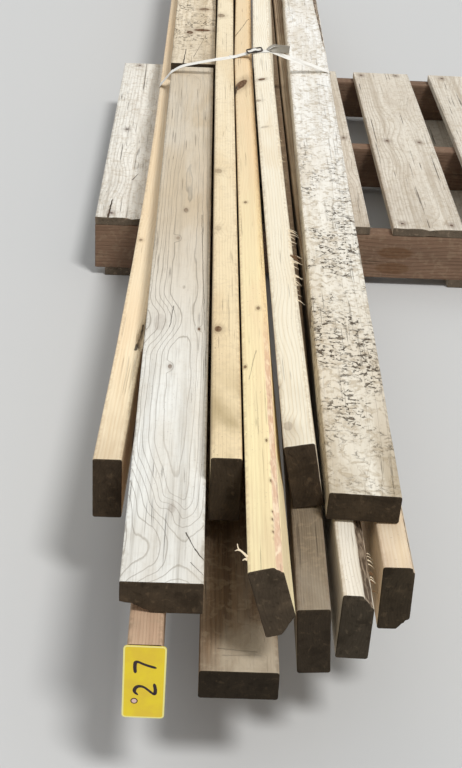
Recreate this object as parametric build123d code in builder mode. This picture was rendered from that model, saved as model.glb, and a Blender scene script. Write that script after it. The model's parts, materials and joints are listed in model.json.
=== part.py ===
"""Strapped bundle of used pine studs on a wooden pallet.

Millimetres. X runs along the pallet's stringers, Y along the studs and away from their
tagged ends, Z is up. The origin is on the floor, under the middle of the whole load.
"""

import os
from dataclasses import dataclass, field
from math import cos, radians, sin, tan

from build123d import *

# Sawn stock
stud_thickness = 38.0
stud_width = 89.0
stud_arris = 3.0
full_board_thickness = 41.0
full_board_width = 92.0
full_board_length = 1916.0
rough_board_width = 98.0
rough_board_arris = 2.0
six_foot = 1829.0
eight_foot = 2438.0
ten_foot = 3048.0
twelve_foot = 3658.0

# Pallet
pallet_length = 1219.0
pallet_depth = 1016.0
stringer_width = 38.0
stringer_height = 89.0
deck_board_width = 138.0
deck_board_thickness = 16.0
deck_gap_shares = (54.0, 61.0, 44.0, 51.0, 27.0, 16.0)
bottom_board_inset = 19.0
bottom_gap_shares = (197.0, 198.0, 234.0)
board_arris = 1.5

# Bundle on the pallet, at the strap
bundle_inset = 102.0
side_gap = 1.0
flat_stud_gap = 22.0
waney_stud_gap = 3.5
right_stud_gap = 13.0
twisted_stud_gap = 3.0
leaning_stud_gap = 0.5
leaning_stud_lean = 10.0
board_overhang = 14.0
rough_board_overhang = 16.5
board_end_gap = 24.0
upper_stud_inset = 4.0
right_board_inset = 15.5

# Near ends, in front of the pallet's middle
reach_left = 1539.0
reach_tagged = 1913.0
reach_flat = 1891.0
reach_inner_right = 1844.0
reach_waney = 1815.0
reach_right = 1757.0
reach_board_near = 1857.0
reach_upper_inner_left = 1651.0
reach_twisted = 1886.0
reach_upper_inner_right = 1640.0
reach_board_right = 1667.0

# Split off the underside of the grey board's near end
broken_across = 36.0
broken_up = 12.5
broken_length = 260.0

# Strap, its buckle and the tag
strap_to_board_end = 22.0
strap_slant = 10.5
strap_width = 19.0
strap_thickness = 0.7
strap_slack = 0.3
strap_side_slack = 0.8
strap_bend_lift = 9.5
strap_bend_radius = 60.0
overlap_start = 30.0
tail_root = 1.0
tail_length = 40.0
tail_rise = 13.0
twisted_tail_length = 46.0
buckle_wire = 3.2
buckle_length = 36.0
buckle_width = 29.0
buckle_corner = 6.0
buckle_bar_gap = 1.2
buckle_gap = 0.5
tag_width = 46.5
tag_height = 99.0
tag_thickness = 1.0
tag_corner = 5.0
tag_hole = 5.0
tag_hole_aside = 10.0
tag_hole_rise = 23.5
tag_tilt = 0.8
tag_drop = 0.5

# Heights that follow
deck_top = 2 * deck_board_thickness + stringer_height
bed = deck_top + strap_thickness + strap_slack
flat_top = bed + 2 * stud_thickness
edge_top = bed + stud_width

# The far board starts a gap beyond the near board, and the strap crosses just before that gap
reach_board_far = reach_board_near - full_board_length - board_end_gap
strap_station = full_board_length - reach_board_near - strap_to_board_end

# Places across the bundle that follow, lower layer and then upper layer
bundle_left = bundle_inset - pallet_length / 2
x_left = bundle_left + stud_thickness / 2
x_tagged = x_left + stud_thickness + side_gap
x_hidden = x_tagged + stud_thickness + side_gap
x_flat = x_hidden + stud_thickness / 2 + side_gap + stud_width / 2
x_inner_right = x_flat + stud_width / 2 + flat_stud_gap + stud_thickness / 2
x_waney = x_inner_right + stud_thickness + waney_stud_gap
x_right = x_waney + stud_thickness + right_stud_gap
x_board_near = x_tagged - stud_thickness / 2 - board_overhang + full_board_width / 2
x_board_far = x_tagged - stud_thickness / 2 - rough_board_overhang + rough_board_width / 2
x_upper_inner_left = x_flat - stud_width / 2 + upper_stud_inset + stud_thickness / 2
x_twisted = x_upper_inner_left + stud_thickness + twisted_stud_gap
leaning_half_width = (stud_thickness * cos(radians(leaning_stud_lean))
                      + stud_width * sin(radians(leaning_stud_lean))) / 2
x_upper_inner_right = x_twisted + stud_thickness / 2 + leaning_stud_gap + leaning_half_width
x_board_right = x_waney - stud_thickness / 2 + right_board_inset + stud_width / 2


@dataclass
class Stick:
    """One sawn stick, placed by its section at the strap and by how its ends stray."""

    name: str
    width: float
    height: float
    x: float
    z: float
    reach: float
    length: float
    near_shift: float = 0.0
    near_lift: float = 0.0
    near_lean: float = 0.0
    lean: float = 0.0
    far_shift: float = 0.0
    bend_power: float = 2.0
    arris: float = stud_arris
    wanes: dict = field(default_factory=dict)


on_edge = {"width": stud_thickness, "height": stud_width}
on_flat = {"width": stud_width, "height": stud_thickness}

sticks = [
    Stick("lower_stud_left", **on_edge, x=x_left, z=bed, reach=reach_left, length=ten_foot,
          near_shift=-29, far_shift=6),
    Stick("lower_stud_tagged", **on_edge, x=x_tagged, z=bed, reach=reach_tagged,
          length=twelve_foot, near_shift=-3, far_shift=8, bend_power=1),
    Stick("lower_stud_hidden", **on_edge, x=x_hidden, z=bed, reach=eight_foot / 2,
          length=eight_foot, near_shift=-2, far_shift=5.5, bend_power=1),
    Stick("lower_stud_flat", **on_flat, x=x_flat, z=bed, reach=reach_flat,
          length=twelve_foot, near_shift=-3, far_shift=8, bend_power=1),
    Stick("lower_stud_flat_hidden", **on_flat, x=x_flat, z=bed + stud_thickness,
          reach=eight_foot / 2, length=eight_foot, near_shift=-2, far_shift=5.5, bend_power=1),
    Stick("lower_stud_inner_right", **on_edge, x=x_inner_right, z=bed,
          reach=reach_inner_right, length=twelve_foot, near_shift=-4.7, near_lean=3.7,
          far_shift=12),
    Stick("lower_stud_waney", **on_edge, x=x_waney, z=bed, reach=reach_waney,
          length=twelve_foot, near_shift=3, near_lean=-1.6, far_shift=12,
          wanes={"top_right": (15, 18)}),
    Stick("lower_stud_right", **on_edge, x=x_right, z=bed, reach=reach_right,
          length=ten_foot, near_shift=4.4, far_shift=8.5,
          wanes={"top_right": (4, 8), "bottom_right": (15, 16)}),
    Stick("upper_board_left_near", full_board_width, full_board_thickness, x=x_board_near,
          z=edge_top, reach=reach_board_near, length=full_board_length, near_shift=-1,
          arris=1.5),
    Stick("upper_board_left_far", rough_board_width, full_board_thickness, x=x_board_far,
          z=edge_top, reach=reach_board_far, length=six_foot, arris=rough_board_arris),
    Stick("upper_stud_inner_left", **on_edge, x=x_upper_inner_left, z=flat_top,
          reach=reach_upper_inner_left, length=ten_foot, far_shift=9),
    Stick("upper_stud_twisted", **on_edge, x=x_twisted, z=flat_top, reach=reach_twisted,
          length=twelve_foot, near_shift=10.4, near_lift=6, near_lean=16, far_shift=23,
          arris=2.5,
          wanes={"top_right": (9.5, 9), "bottom_right": (20, 21)}),
    Stick("upper_stud_inner_right", **on_edge, x=x_upper_inner_right, z=edge_top,
          reach=reach_upper_inner_right, length=ten_foot, near_shift=7.9,
          lean=leaning_stud_lean, near_lean=1, far_shift=24),
    Stick("upper_board_right", **on_flat, x=x_board_right, z=edge_top,
          reach=reach_board_right, length=ten_foot, near_shift=-21.4, near_lift=1.2,
          near_lean=-2.3, far_shift=20, bend_power=1),
]

# The load's middle lies half way between its foremost and its rearmost end
front_reach = max(stick.reach for stick in sticks) + tag_thickness
back_reach = max(stick.length - stick.reach for stick in sticks)
pallet_middle = (front_reach - back_reach) / 2
strap_y = pallet_middle + strap_station


def across_plane(x, y, z, lean=0.0):
    """Plane square to the studs, seen from their near ends, turned by lean degrees."""
    turn = radians(lean)
    return Plane(origin=(x, y, z), x_dir=(cos(turn), 0, sin(turn)), z_dir=(0, -1, 0))


def section_corners(width, height, wanes):
    """Corner points of a sawn section, with each waney corner cut back."""
    corners = {
        "bottom_left": (-1, -1),
        "bottom_right": (1, -1),
        "top_right": (1, 1),
        "top_left": (-1, 1),
    }
    points = []
    for corner, (side, rise) in corners.items():
        x, z = side * width / 2, rise * height / 2
        across, down = wanes.get(corner, (0, 0))
        if not across:
            points.append((x, z))
            continue
        cut = [(x, z - rise * down), (x - side * across, z)]
        points.extend(cut if side == rise else reversed(cut))
    return points


def stations(stick):
    """Distance from the strap, shift, lift and lean of each section along a stick."""
    strap_to_near = stick.reach + strap_station
    strap_to_far = stick.length - strap_to_near
    if strap_to_near <= 0:
        return [(-strap_to_near, 0, 0, stick.lean), (strap_to_far, 0, 0, stick.lean)]
    rows = []
    for way in (1.0, 0.8, 0.6, 0.4, 0.2, 0.0):
        shift = stick.near_shift * way**stick.bend_power
        lift, lean = stick.near_lift * way**2, stick.lean + stick.near_lean * way**2
        rows.append((-way * strap_to_near, shift, lift, lean))
    rows.append((strap_to_far, stick.far_shift, 0, stick.lean))
    return rows


def broken_corners(share):
    """Outline of the split in the grey board's lower left corner, shrunk by share."""
    across, up = broken_across * share, broken_up * share
    outside = -stud_thickness
    return [(outside, outside), (across, outside), (across, 0), (across / 3, up), (outside, up)]


def make_stick(stick):
    """Loft a stick through its sections, each resting on the same level."""
    with BuildPart() as timber:
        for distance, shift, lift, lean in stations(stick):
            turn = radians(lean)
            half_rise = (stick.height * cos(turn) + stick.width * abs(sin(turn))) / 2
            middle = stick.z + lift + half_rise
            plane = across_plane(stick.x + shift, strap_y + distance, middle, lean)
            with BuildSketch(plane) as section:
                with BuildLine():
                    Polyline(*section_corners(stick.width, stick.height, stick.wanes), close=True)
                make_face()
                fillet(section.vertices(), radius=stick.arris)
        loft(ruled=True)
        if stick.name == "upper_board_left_near":
            left = stick.x + stick.near_shift - stick.width / 2
            near = pallet_middle - stick.reach
            for y, share in ((near - 1, 1.0), (near + broken_length, 0.05)):
                with BuildSketch(across_plane(left, y, stick.z)):
                    with BuildLine():
                        Polyline(*broken_corners(share), close=True)
                    make_face()
            loft(mode=Mode.SUBTRACT)
    timber.part.label = stick.name
    export_step(timber.part, f"parts/{stick.name}.step")


def make_board(name, x, y, z, size_x, size_y, size_z):
    """A sawn pallet board or stringer with lightly eased long edges."""
    with BuildPart() as board:
        with BuildSketch(Plane((x, y, z))):
            Rectangle(size_x, size_y)
        extrude(amount=size_z)
        long_axis = Axis.X if size_x > size_y else Axis.Y
        fillet(board.edges().filter_by(long_axis), radius=board_arris)
    board.part.label = name
    export_step(board.part, f"parts/{name}.step")


def board_middles(inset, gap_shares):
    """Middles of the boards that share out a face of the pallet, from its left end."""
    boards = len(gap_shares) + 1
    room = pallet_length - 2 * inset - boards * deck_board_width
    middles = [inset + deck_board_width / 2 - pallet_length / 2]
    for share in gap_shares:
        gap = room * share / sum(gap_shares)
        middles.append(middles[-1] + deck_board_width + gap)
    return middles


def leaning_corner(side):
    """Top corner, left (-1) or right (1), of the leaning stud where the strap crosses it."""
    turn = radians(leaning_stud_lean)
    half_width, half_height = stud_thickness / 2, stud_width / 2
    x = x_upper_inner_right + side * half_width * cos(turn) - half_height * sin(turn)
    z = edge_top + stud_width * cos(turn) + (1 + side) * half_width * sin(turn)
    return x, z + strap_slack


def strap_points():
    """Corners of the taut path round the bundle, and the bend radius at each."""
    left = bundle_left - strap_slack
    board_left = x_board_near - full_board_width / 2 + strap_slack
    upper_left = x_upper_inner_left - stud_thickness / 2
    board_right = x_board_right + stud_width / 2 + strap_side_slack
    return [
        ((left, bed - strap_slack), stud_arris),
        ((left, edge_top), stud_arris),
        ((board_left, edge_top + full_board_thickness + strap_bend_lift), strap_bend_radius),
        ((upper_left, flat_top + stud_width + strap_slack), stud_arris),
        (leaning_corner(-1), stud_arris),
        (leaning_corner(1), stud_arris),
        ((board_right, edge_top + stud_thickness + strap_slack), stud_arris),
        ((board_right, edge_top), stud_arris),
        ((x_right + stud_thickness / 2, bed - strap_slack), stud_arris),
    ]


def along_strap(x):
    """Distance along the slanting strap from the middle of the twisted stud."""
    return (x - x_twisted) / cos(radians(strap_slant))


def make_strap():
    """The closed loop, the doubled stretch under the buckle and the two loose tails."""
    slant = radians(strap_slant)
    extent = strap_width / cos(slant)
    slanting_plane = Plane(
        origin=(x_twisted, strap_y - extent / 2, 0),
        x_dir=(cos(slant), sin(slant), 0),
        z_dir=(sin(slant), -cos(slant), 0),
    )
    path = [(along_strap(x), z) for (x, z), _ in strap_points()]
    bends = [bend for _, bend in strap_points()]
    peak_x, peak_z = leaning_corner(1)
    peak_right, peak_top = along_strap(peak_x), peak_z + strap_thickness
    overlap_left = along_strap(x_upper_inner_left - stud_thickness / 2 + overlap_start)
    with BuildPart() as strap:
        with BuildSketch(slanting_plane):
            with BuildLine() as inside:
                FilletPolyline(*path, radius=bends, close=True)
            make_face()
            offset(amount=strap_thickness)
            make_face(inside.edges(), mode=Mode.SUBTRACT)
        extrude(amount=extent, dir=(0, 1, 0))
        with BuildSketch(slanting_plane):
            with BuildLine() as doubled:
                FilletPolyline(*path, radius=bends, close=True)
            make_face()
            offset(amount=2 * strap_thickness)
            make_face(doubled.edges(), mode=Mode.SUBTRACT)
            with Locations(((overlap_left + peak_right) / 2, peak_top)):
                Rectangle(peak_right - overlap_left, stud_width, mode=Mode.INTERSECT)
        extrude(amount=extent, dir=(0, 1, 0))
        with BuildSketch(slanting_plane):
            with BuildLine():
                Polyline(
                    (peak_right - tail_root, peak_top),
                    (peak_right + tail_length, peak_top + tail_rise),
                    (peak_right + tail_length, peak_top + tail_rise + strap_thickness),
                    (peak_right - tail_root, peak_top + strap_thickness),
                    close=True,
                )
            make_face()
        extrude(amount=extent, dir=(0, 1, 0))
        for way in (0.0, 0.5, 1.0):
            turn = radians(90 * way)
            distance = peak_right - tail_root + twisted_tail_length * way
            middle = (x_twisted + distance * cos(slant), strap_y + distance * sin(slant),
                      peak_top + strap_thickness / 2)
            with BuildSketch(Plane(middle, (0, cos(turn), sin(turn)), (1, 0, 0))):
                Rectangle(extent, strap_thickness)
        loft()
    strap.part.label = "strap"
    export_step(strap.part, "parts/strap.step")


def make_buckle():
    """A closed frame of bent wire with two middle bars, lying on the doubled strap."""
    slant, lean = radians(strap_slant), radians(leaning_stud_lean)
    corner_x, corner_z = leaning_corner(-1)
    middle_x = corner_x + buckle_length / 8
    rise = 2 * strap_thickness + buckle_gap + buckle_wire / 2
    middle = (
        middle_x - rise * sin(lean),
        strap_y + along_strap(middle_x) * sin(slant),
        corner_z + (middle_x - corner_x) * tan(lean) + rise * cos(lean),
    )
    along_axis = (cos(lean) * cos(slant), sin(slant), sin(lean) * cos(slant))
    flat_plane = Plane(middle, along_axis, (-sin(lean), 0, cos(lean)))
    along, aside = buckle_length - buckle_wire, buckle_width - buckle_wire
    with BuildPart() as buckle:
        with BuildLine(flat_plane) as frame:
            FilletPolyline(
                (0, -aside / 2), (along / 2, -aside / 2), (along / 2, aside / 2),
                (-along / 2, aside / 2), (-along / 2, -aside / 2),
                radius=(0, buckle_corner, buckle_corner, buckle_corner, buckle_corner),
                close=True,
            )
        with BuildSketch(Plane(frame.line @ 0, z_dir=frame.line % 0)):
            Circle(buckle_wire / 2)
        sweep()
        bar_offset = (buckle_wire + buckle_bar_gap) / 2
        with BuildSketch(Plane(flat_plane.origin, flat_plane.x_dir, flat_plane.y_dir)):
            with Locations((-bar_offset, 0), (bar_offset, 0)):
                Circle(buckle_wire / 2)
        extrude(amount=aside / 2, both=True)
    buckle.part.label = "strap_buckle"
    export_step(buckle.part, "parts/strap_buckle.step")


def make_tag():
    """A thin tag with a punched hole, flat on the end of the tagged stud."""
    tagged = next(stick for stick in sticks if stick.name == "lower_stud_tagged")
    middle = bed + stud_width - tag_drop - tag_height / 2
    plane = across_plane(tagged.x + tagged.near_shift, pallet_middle - tagged.reach, middle, -tag_tilt)
    with BuildPart() as tag:
        with BuildSketch(plane):
            RectangleRounded(tag_width, tag_height, tag_corner)
            with Locations((-tag_hole_aside, tag_hole_rise - tag_height / 2)):
                Circle(tag_hole / 2, mode=Mode.SUBTRACT)
        extrude(amount=tag_thickness)
    tag.part.label = "tag"
    export_step(tag.part, "parts/tag.step")


os.makedirs("parts", exist_ok=True)

for stick in sticks:
    make_stick(stick)

make_strap()
make_buckle()
make_tag()

stringer_offset = (pallet_depth - stringer_width) / 2
for place, offset_y in (("near", -stringer_offset), ("middle", 0), ("far", stringer_offset)):
    make_board(f"pallet_stringer_{place}", 0, pallet_middle + offset_y, deck_board_thickness,
               pallet_length, stringer_width, stringer_height)

for number, x in enumerate(board_middles(0, deck_gap_shares), start=1):
    make_board(f"pallet_deck_board_{number}", x, pallet_middle,
               deck_board_thickness + stringer_height,
               deck_board_width, pallet_depth, deck_board_thickness)

for number, x in enumerate(board_middles(bottom_board_inset, bottom_gap_shares), start=1):
    make_board(f"pallet_bottom_board_{number}", x, pallet_middle, 0,
               deck_board_width, pallet_depth, deck_board_thickness)
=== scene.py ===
"""Dresses a strapped bundle of used pine studs that lies across a wooden stringer pallet.

Metres, in the part's own frame: X runs along the pallet's stringers, Y along the studs and
away from their tagged ends, Z is up.
"""

import json
import logging
import math
import random
from collections.abc import Iterable, Mapping, Sequence
from dataclasses import dataclass, replace
from enum import Enum
from typing import Protocol, TypeAlias

import bmesh
import bpy
from mathutils import Matrix, Vector, noise

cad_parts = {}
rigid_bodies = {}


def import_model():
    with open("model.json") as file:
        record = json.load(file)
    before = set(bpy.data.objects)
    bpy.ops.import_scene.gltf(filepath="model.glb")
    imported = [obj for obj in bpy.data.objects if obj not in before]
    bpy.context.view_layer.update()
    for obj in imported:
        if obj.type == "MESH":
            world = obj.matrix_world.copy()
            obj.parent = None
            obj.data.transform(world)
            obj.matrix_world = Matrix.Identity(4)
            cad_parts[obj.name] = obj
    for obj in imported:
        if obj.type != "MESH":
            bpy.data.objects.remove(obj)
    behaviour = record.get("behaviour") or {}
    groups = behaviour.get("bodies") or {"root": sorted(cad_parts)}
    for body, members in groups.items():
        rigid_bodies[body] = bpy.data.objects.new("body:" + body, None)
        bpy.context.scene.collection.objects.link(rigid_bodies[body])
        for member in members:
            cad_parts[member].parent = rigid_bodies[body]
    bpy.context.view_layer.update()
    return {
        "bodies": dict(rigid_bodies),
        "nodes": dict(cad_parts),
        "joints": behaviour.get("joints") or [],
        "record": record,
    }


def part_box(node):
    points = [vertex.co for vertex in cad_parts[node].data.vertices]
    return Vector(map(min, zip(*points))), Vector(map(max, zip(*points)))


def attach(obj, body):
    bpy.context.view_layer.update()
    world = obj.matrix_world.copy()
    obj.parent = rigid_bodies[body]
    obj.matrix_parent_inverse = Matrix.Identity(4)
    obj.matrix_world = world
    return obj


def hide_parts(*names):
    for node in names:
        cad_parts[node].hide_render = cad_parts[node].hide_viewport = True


log = logging.getLogger("pine_bundle")

Triple = tuple[float, float, float]
Colour = Triple
Input: TypeAlias = "Value | Sequence[float] | float"

PLACE = "timber_place"
BARK = "bark_depth"
EDGE = "edge_wear"
SEED = "timber_seed"
RUST = "nail_rust"

SEED_SHIFT = 5.3
KNOT_DEPTH = 0.030


class Finish(Enum):
    """Names of the record's material slots; each stick notes one, but its finish comes from its
    PineFinish.
    """

    YELLOW = "pine_yellow"
    PINK = "pine_pink"
    BROWN = "pine_brown"
    GREY_BROWN = "pine_grey_brown"
    CREAM = "pine_cream"
    SILVER = "pine_silver"
    ROUGH = "pine_rough"
    WHITE_GREY = "pine_white_grey"
    STRAP = "strap_white"
    WIRE = "buckle_wire"
    TAG = "tag_yellow"
    STRINGER = "pallet_stringer_wood"
    BOARD = "pallet_board_wood"


def linear(*shown: int) -> Colour:
    """Linear colour that Blender's sockets take.

    Args:
        *shown: Red, green and blue as displayed, in 0 to 255.

    Returns:
        The three linear values.
    """
    shares = (value / 255 for value in shown)
    return tuple(share / 12.92 if share <= 0.04045 else ((share + 0.055) / 1.055) ** 2.4
                 for share in shares)


@dataclass(frozen=True)
class Value:
    """What one output of a material's nodes gives; arithmetic with it adds Math nodes."""

    recipe: "Recipe"
    socket: bpy.types.NodeSocket

    def __add__(self, other: Input) -> "Value":
        """Sum."""
        return self.recipe.math("ADD", self, other)

    def __sub__(self, other: Input) -> "Value":
        """Difference."""
        return self.recipe.math("SUBTRACT", self, other)

    def __mul__(self, other: Input) -> "Value":
        """Product."""
        return self.recipe.math("MULTIPLY", self, other)

    def __truediv__(self, other: float) -> "Value":
        """Quotient."""
        return self.recipe.math("DIVIDE", self, other)

    def at_least(self, other: Input) -> "Value":
        """The larger of two numbers."""
        return self.recipe.math("MAXIMUM", self, other)

    def at_most(self, other: Input) -> "Value":
        """The smaller of two numbers."""
        return self.recipe.math("MINIMUM", self, other)

    def root(self) -> "Value":
        """Square root."""
        return self.recipe.math("SQRT", self)

    def band(self, start: float, end: float) -> "Value":
        """Smooth step from 0 at one value to 1 at another.

        Args:
            start: Where the step is still 0.
            end: Where it is 1; it may be the smaller value.

        Returns:
            The step.
        """
        falls = float(end < start)
        return self.recipe.node(
            "MapRange", {"Value": self, "From Min": min(start, end), "From Max": max(start, end),
                         "To Min": falls, "To Max": 1.0 - falls},
            "Result", interpolation_type="SMOOTHSTEP")


class Recipe:
    """Builds the nodes of one procedural material."""

    def __init__(self, name: str) -> None:
        """Start a material.

        Args:
            name: Name of the material.
        """
        self.material = bpy.data.materials.new(name)
        self.material.use_nodes = True
        self.tree = self.material.node_tree

    def put(self, socket: bpy.types.NodeSocket, value: Input) -> None:
        """Link an input or set its value.

        Args:
            socket: Input to fill.
            value: A value of the nodes, a number, or a colour or vector.
        """
        if isinstance(value, Value):
            self.tree.links.new(value.socket, socket)
        else:
            socket.default_value = (*value, 1.0) if socket.type == "RGBA" else value

    def node(self, kind: str, inputs: Mapping[str | int, Input], output: str | int = 0,
             **settings: str) -> Value:
        """Add a node.

        Args:
            kind: Its type, without the ShaderNode in front.
            inputs: What fills its inputs, by their names or numbers.
            output: Name or number of the output that is wanted.
            **settings: Its properties.

        Returns:
            The output's value.
        """
        node = self.tree.nodes.new(f"ShaderNode{kind}")
        for name, value in settings.items():
            setattr(node, name, value)
        for key, value in inputs.items():
            self.put(node.inputs[key], value)
        return Value(self, node.outputs[output])

    def math(self, operation: str, first: Input, second: Input = 0.0) -> Value:
        """Reckon with one or two numbers."""
        return self.node("Math", {0: first, 1: second}, operation=operation)

    def vector(self, operation: str, inputs: Mapping[str | int, Input],
               output: str = "Vector") -> Value:
        """Reckon with vectors."""
        return self.node("VectorMath", inputs, output, operation=operation)

    def mix(self, share: Input, first: Input, second: Input, blend: str = "MIX") -> Value:
        """Mix two colours.

        Args:
            share: How much of the second colour shows, held to 0 to 1.
            first: First colour.
            second: Second colour.
            blend: How they blend.

        Returns:
            The mixed colour.
        """
        return self.node("Mix", {"Factor": share, 6: first, 7: second}, 2, data_type="RGBA",
                         blend_type=blend)

    def read(self, attribute: str, output: str = "Vector") -> Value:
        """What one of the piece's attributes holds; Fac is the output for a number."""
        return self.node("Attribute", {}, output, attribute_name=attribute)

    def object_place(self) -> Value:
        """Place on the piece in object coordinates."""
        return self.node("TexCoord", {}, "Object")

    def split(self, vector: Value) -> tuple[Value, ...]:
        """The three parts of a vector."""
        parts = self.node("SeparateXYZ", {0: vector}).socket.node.outputs
        return tuple(Value(self, part) for part in parts)

    def stretch(self, place: Value, scale: Triple, shift: Triple = (0, 0, 0)) -> Value:
        """Scale and shift a place before a texture reads it."""
        return self.node("Mapping", {"Vector": place, "Scale": scale, "Location": shift})

    def noise(self, place: Value, scale: float, detail: float = 2.0, fold: float = 0.0) -> Value:
        """Add a noise texture.

        Args:
            place: Where it is read.
            scale: Repeats for each metre.
            detail: Octaves.
            fold: How far it folds over.

        Returns:
            Noise from 0 to 1.
        """
        return self.node("TexNoise", {"Vector": place, "Scale": scale, "Detail": detail,
                                      "Distortion": fold}, "Fac")

    def finish(self, colour: Input, roughness: Input, height: Value | None = None,
               relief: float = 0.0, metallic: float = 0.0,
               specular: float = 0.5) -> bpy.types.Material:
        """Fill the shader and hand over the material.

        Args:
            colour: Base colour.
            roughness: Roughness.
            height: Height of the fine relief, or None for a smooth surface.
            relief: What a height of 1 is in metres.
            metallic: Metallic share.
            specular: Specular level.

        Returns:
            The finished material.
        """
        inputs = self.tree.nodes["Principled BSDF"].inputs
        values = {"Base Color": colour, "Roughness": roughness, "Metallic": metallic,
                  "Specular IOR Level": specular}
        if height is not None:
            values["Normal"] = self.node(
                "Bump", {"Strength": 1.0, "Distance": relief, "Height": height}, "Normal")
        for name, value in values.items():
            self.put(inputs[name], value)
        return self.material


class WoodRecipe(Recipe):
    """Material of a wooden face, which keeps its places and its colour and height so far."""

    def __init__(self, name: str, colour: Colour) -> None:
        """Start a material and read where each point of the face is.

        Args:
            name: Name of the material.
            colour: Colour of the bare face.
        """
        super().__init__(name)
        self.local = self.read(PLACE)
        self.across, self.along, self.up = self.split(self.local)
        shift = self.node("CombineXYZ", {1: self.read(SEED, "Fac") * SEED_SHIFT})
        self.seeded = self.vector("ADD", {0: self.local, 1: shift})
        self.colour: Colour | Value = colour
        self.height: Value | None = None

    def paint(self, share: Value, colour: Colour | Value) -> None:
        """Lay a colour over the face where a share is 1."""
        self.colour = self.mix(share, self.colour, colour)

    def sink(self, depth: Value) -> None:
        """Lower the face."""
        self.height = self.height - depth

    def grain(self, scale: Triple, detail: float = 2.0, shift: Triple = (0, 0, 0),
              fold: float = 0.0) -> Value:
        """Noise that differs from stick to stick.

        Args:
            scale: Repeats for each metre across, along and up.
            detail: Octaves.
            shift: Where the noise starts.
            fold: How far it folds over.

        Returns:
            Noise from 0 to 1.
        """
        return self.noise(self.stretch(self.seeded, scale, shift), 1.0, detail, fold)

    def ragged_place(self) -> Value:
        """Place on the stick with its height taken out, pushed aside a little by noise.

        Returns:
            The place.
        """
        push = self.noise(self.stretch(self.local, (90, 60, 0)), 1.0, 3.0) * 0.004
        flat = self.vector("MULTIPLY", {0: self.local, 1: (1.0, 1.0, 0.0)})
        return self.vector("ADD", {0: flat, 1: self.node("CombineXYZ", {0: push})})

    def crescents(self, scale: float, width: float, bend: float) -> Value:
        """Thin bent lines round irregular cells.

        Args:
            scale: Cells for each metre.
            width: Width of a line as a share of a cell.
            bend: How far noise pushes the lines about, in metres.

        Returns:
            1 on a line and 0 beside it.
        """
        place = self.stretch(self.seeded, (1.0, 1.15, 1.0))
        push = self.node("TexNoise", {"Vector": place, "Scale": scale * 1.3}, "Color")
        push = self.vector("SCALE", {0: push, "Scale": bend})
        moved = self.vector("ADD", {0: place, 1: push})
        gap = self.node("TexVoronoi", {"Vector": moved, "Scale": scale}, "Distance",
                        feature="DISTANCE_TO_EDGE")
        return gap.band(width, width * 0.3)

    def knots_around(self) -> Value:
        """Distance to the nearest of some scattered knots, in cells of a coarse lattice."""
        cells = self.stretch(self.seeded, (9.0, 3.2, 9.0))
        return self.node("TexVoronoi", {"Vector": cells, "Scale": 1.0}, "Distance")


@dataclass(frozen=True)
class Knot:
    """A branch stub that shows on the upper face of a stick."""

    across: float
    along: float
    width: float = 0.010
    length: float = 0.014
    darkness: float = 0.8
    skew: float = 0.0

    def distance(self, r: WoodRecipe, depth: Value) -> Value:
        """Distance from the knot's middle, as 1 at its rim.

        Args:
            r: Material in the making.
            depth: Depth under the upper face, as a share of the knot's own depth.

        Returns:
            The scaled distance.
        """
        y = r.along - self.along
        x = (r.across - self.across + y * self.skew) / self.width
        y = y / self.length
        return (x * x + y * y + depth * depth).root()


@dataclass(frozen=True)
class Crack:
    """A narrow split in the upper face between two places on it; on the left stud one of them is
    painted shade along a chipped notch.

    It narrows toward its end by its taper, and its core is the share of its width that is
    wholly dark.
    """

    TAPER = 1.2
    CORE = 0.4

    start: tuple[float, float]
    end: tuple[float, float]
    width: float
    darkness: float

    def opening(self, r: WoodRecipe, place: Value) -> Value:
        """How open the crack is.

        Args:
            r: Material in the making.
            place: Place on the stick with the height taken out.

        Returns:
            The darkness in the crack and 0 beside it.
        """
        run = Vector((self.end[0] - self.start[0], self.end[1] - self.start[1], 0.0))
        away = r.vector("SUBTRACT", {0: place, 1: (*self.start, 0.0)})
        way = r.vector("DOT_PRODUCT", {0: away, 1: run / run.length_squared}, "Value")
        way = way.at_most(1.0).at_least(0.0)
        nearest = r.vector("SCALE", {0: run, "Scale": way})
        aside = r.vector("SUBTRACT", {0: away, 1: nearest})
        gap = r.vector("LENGTH", {0: aside}, "Value") * (way * self.TAPER + 1.0)
        return gap.band(self.width, self.width * self.CORE) * self.darkness


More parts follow.
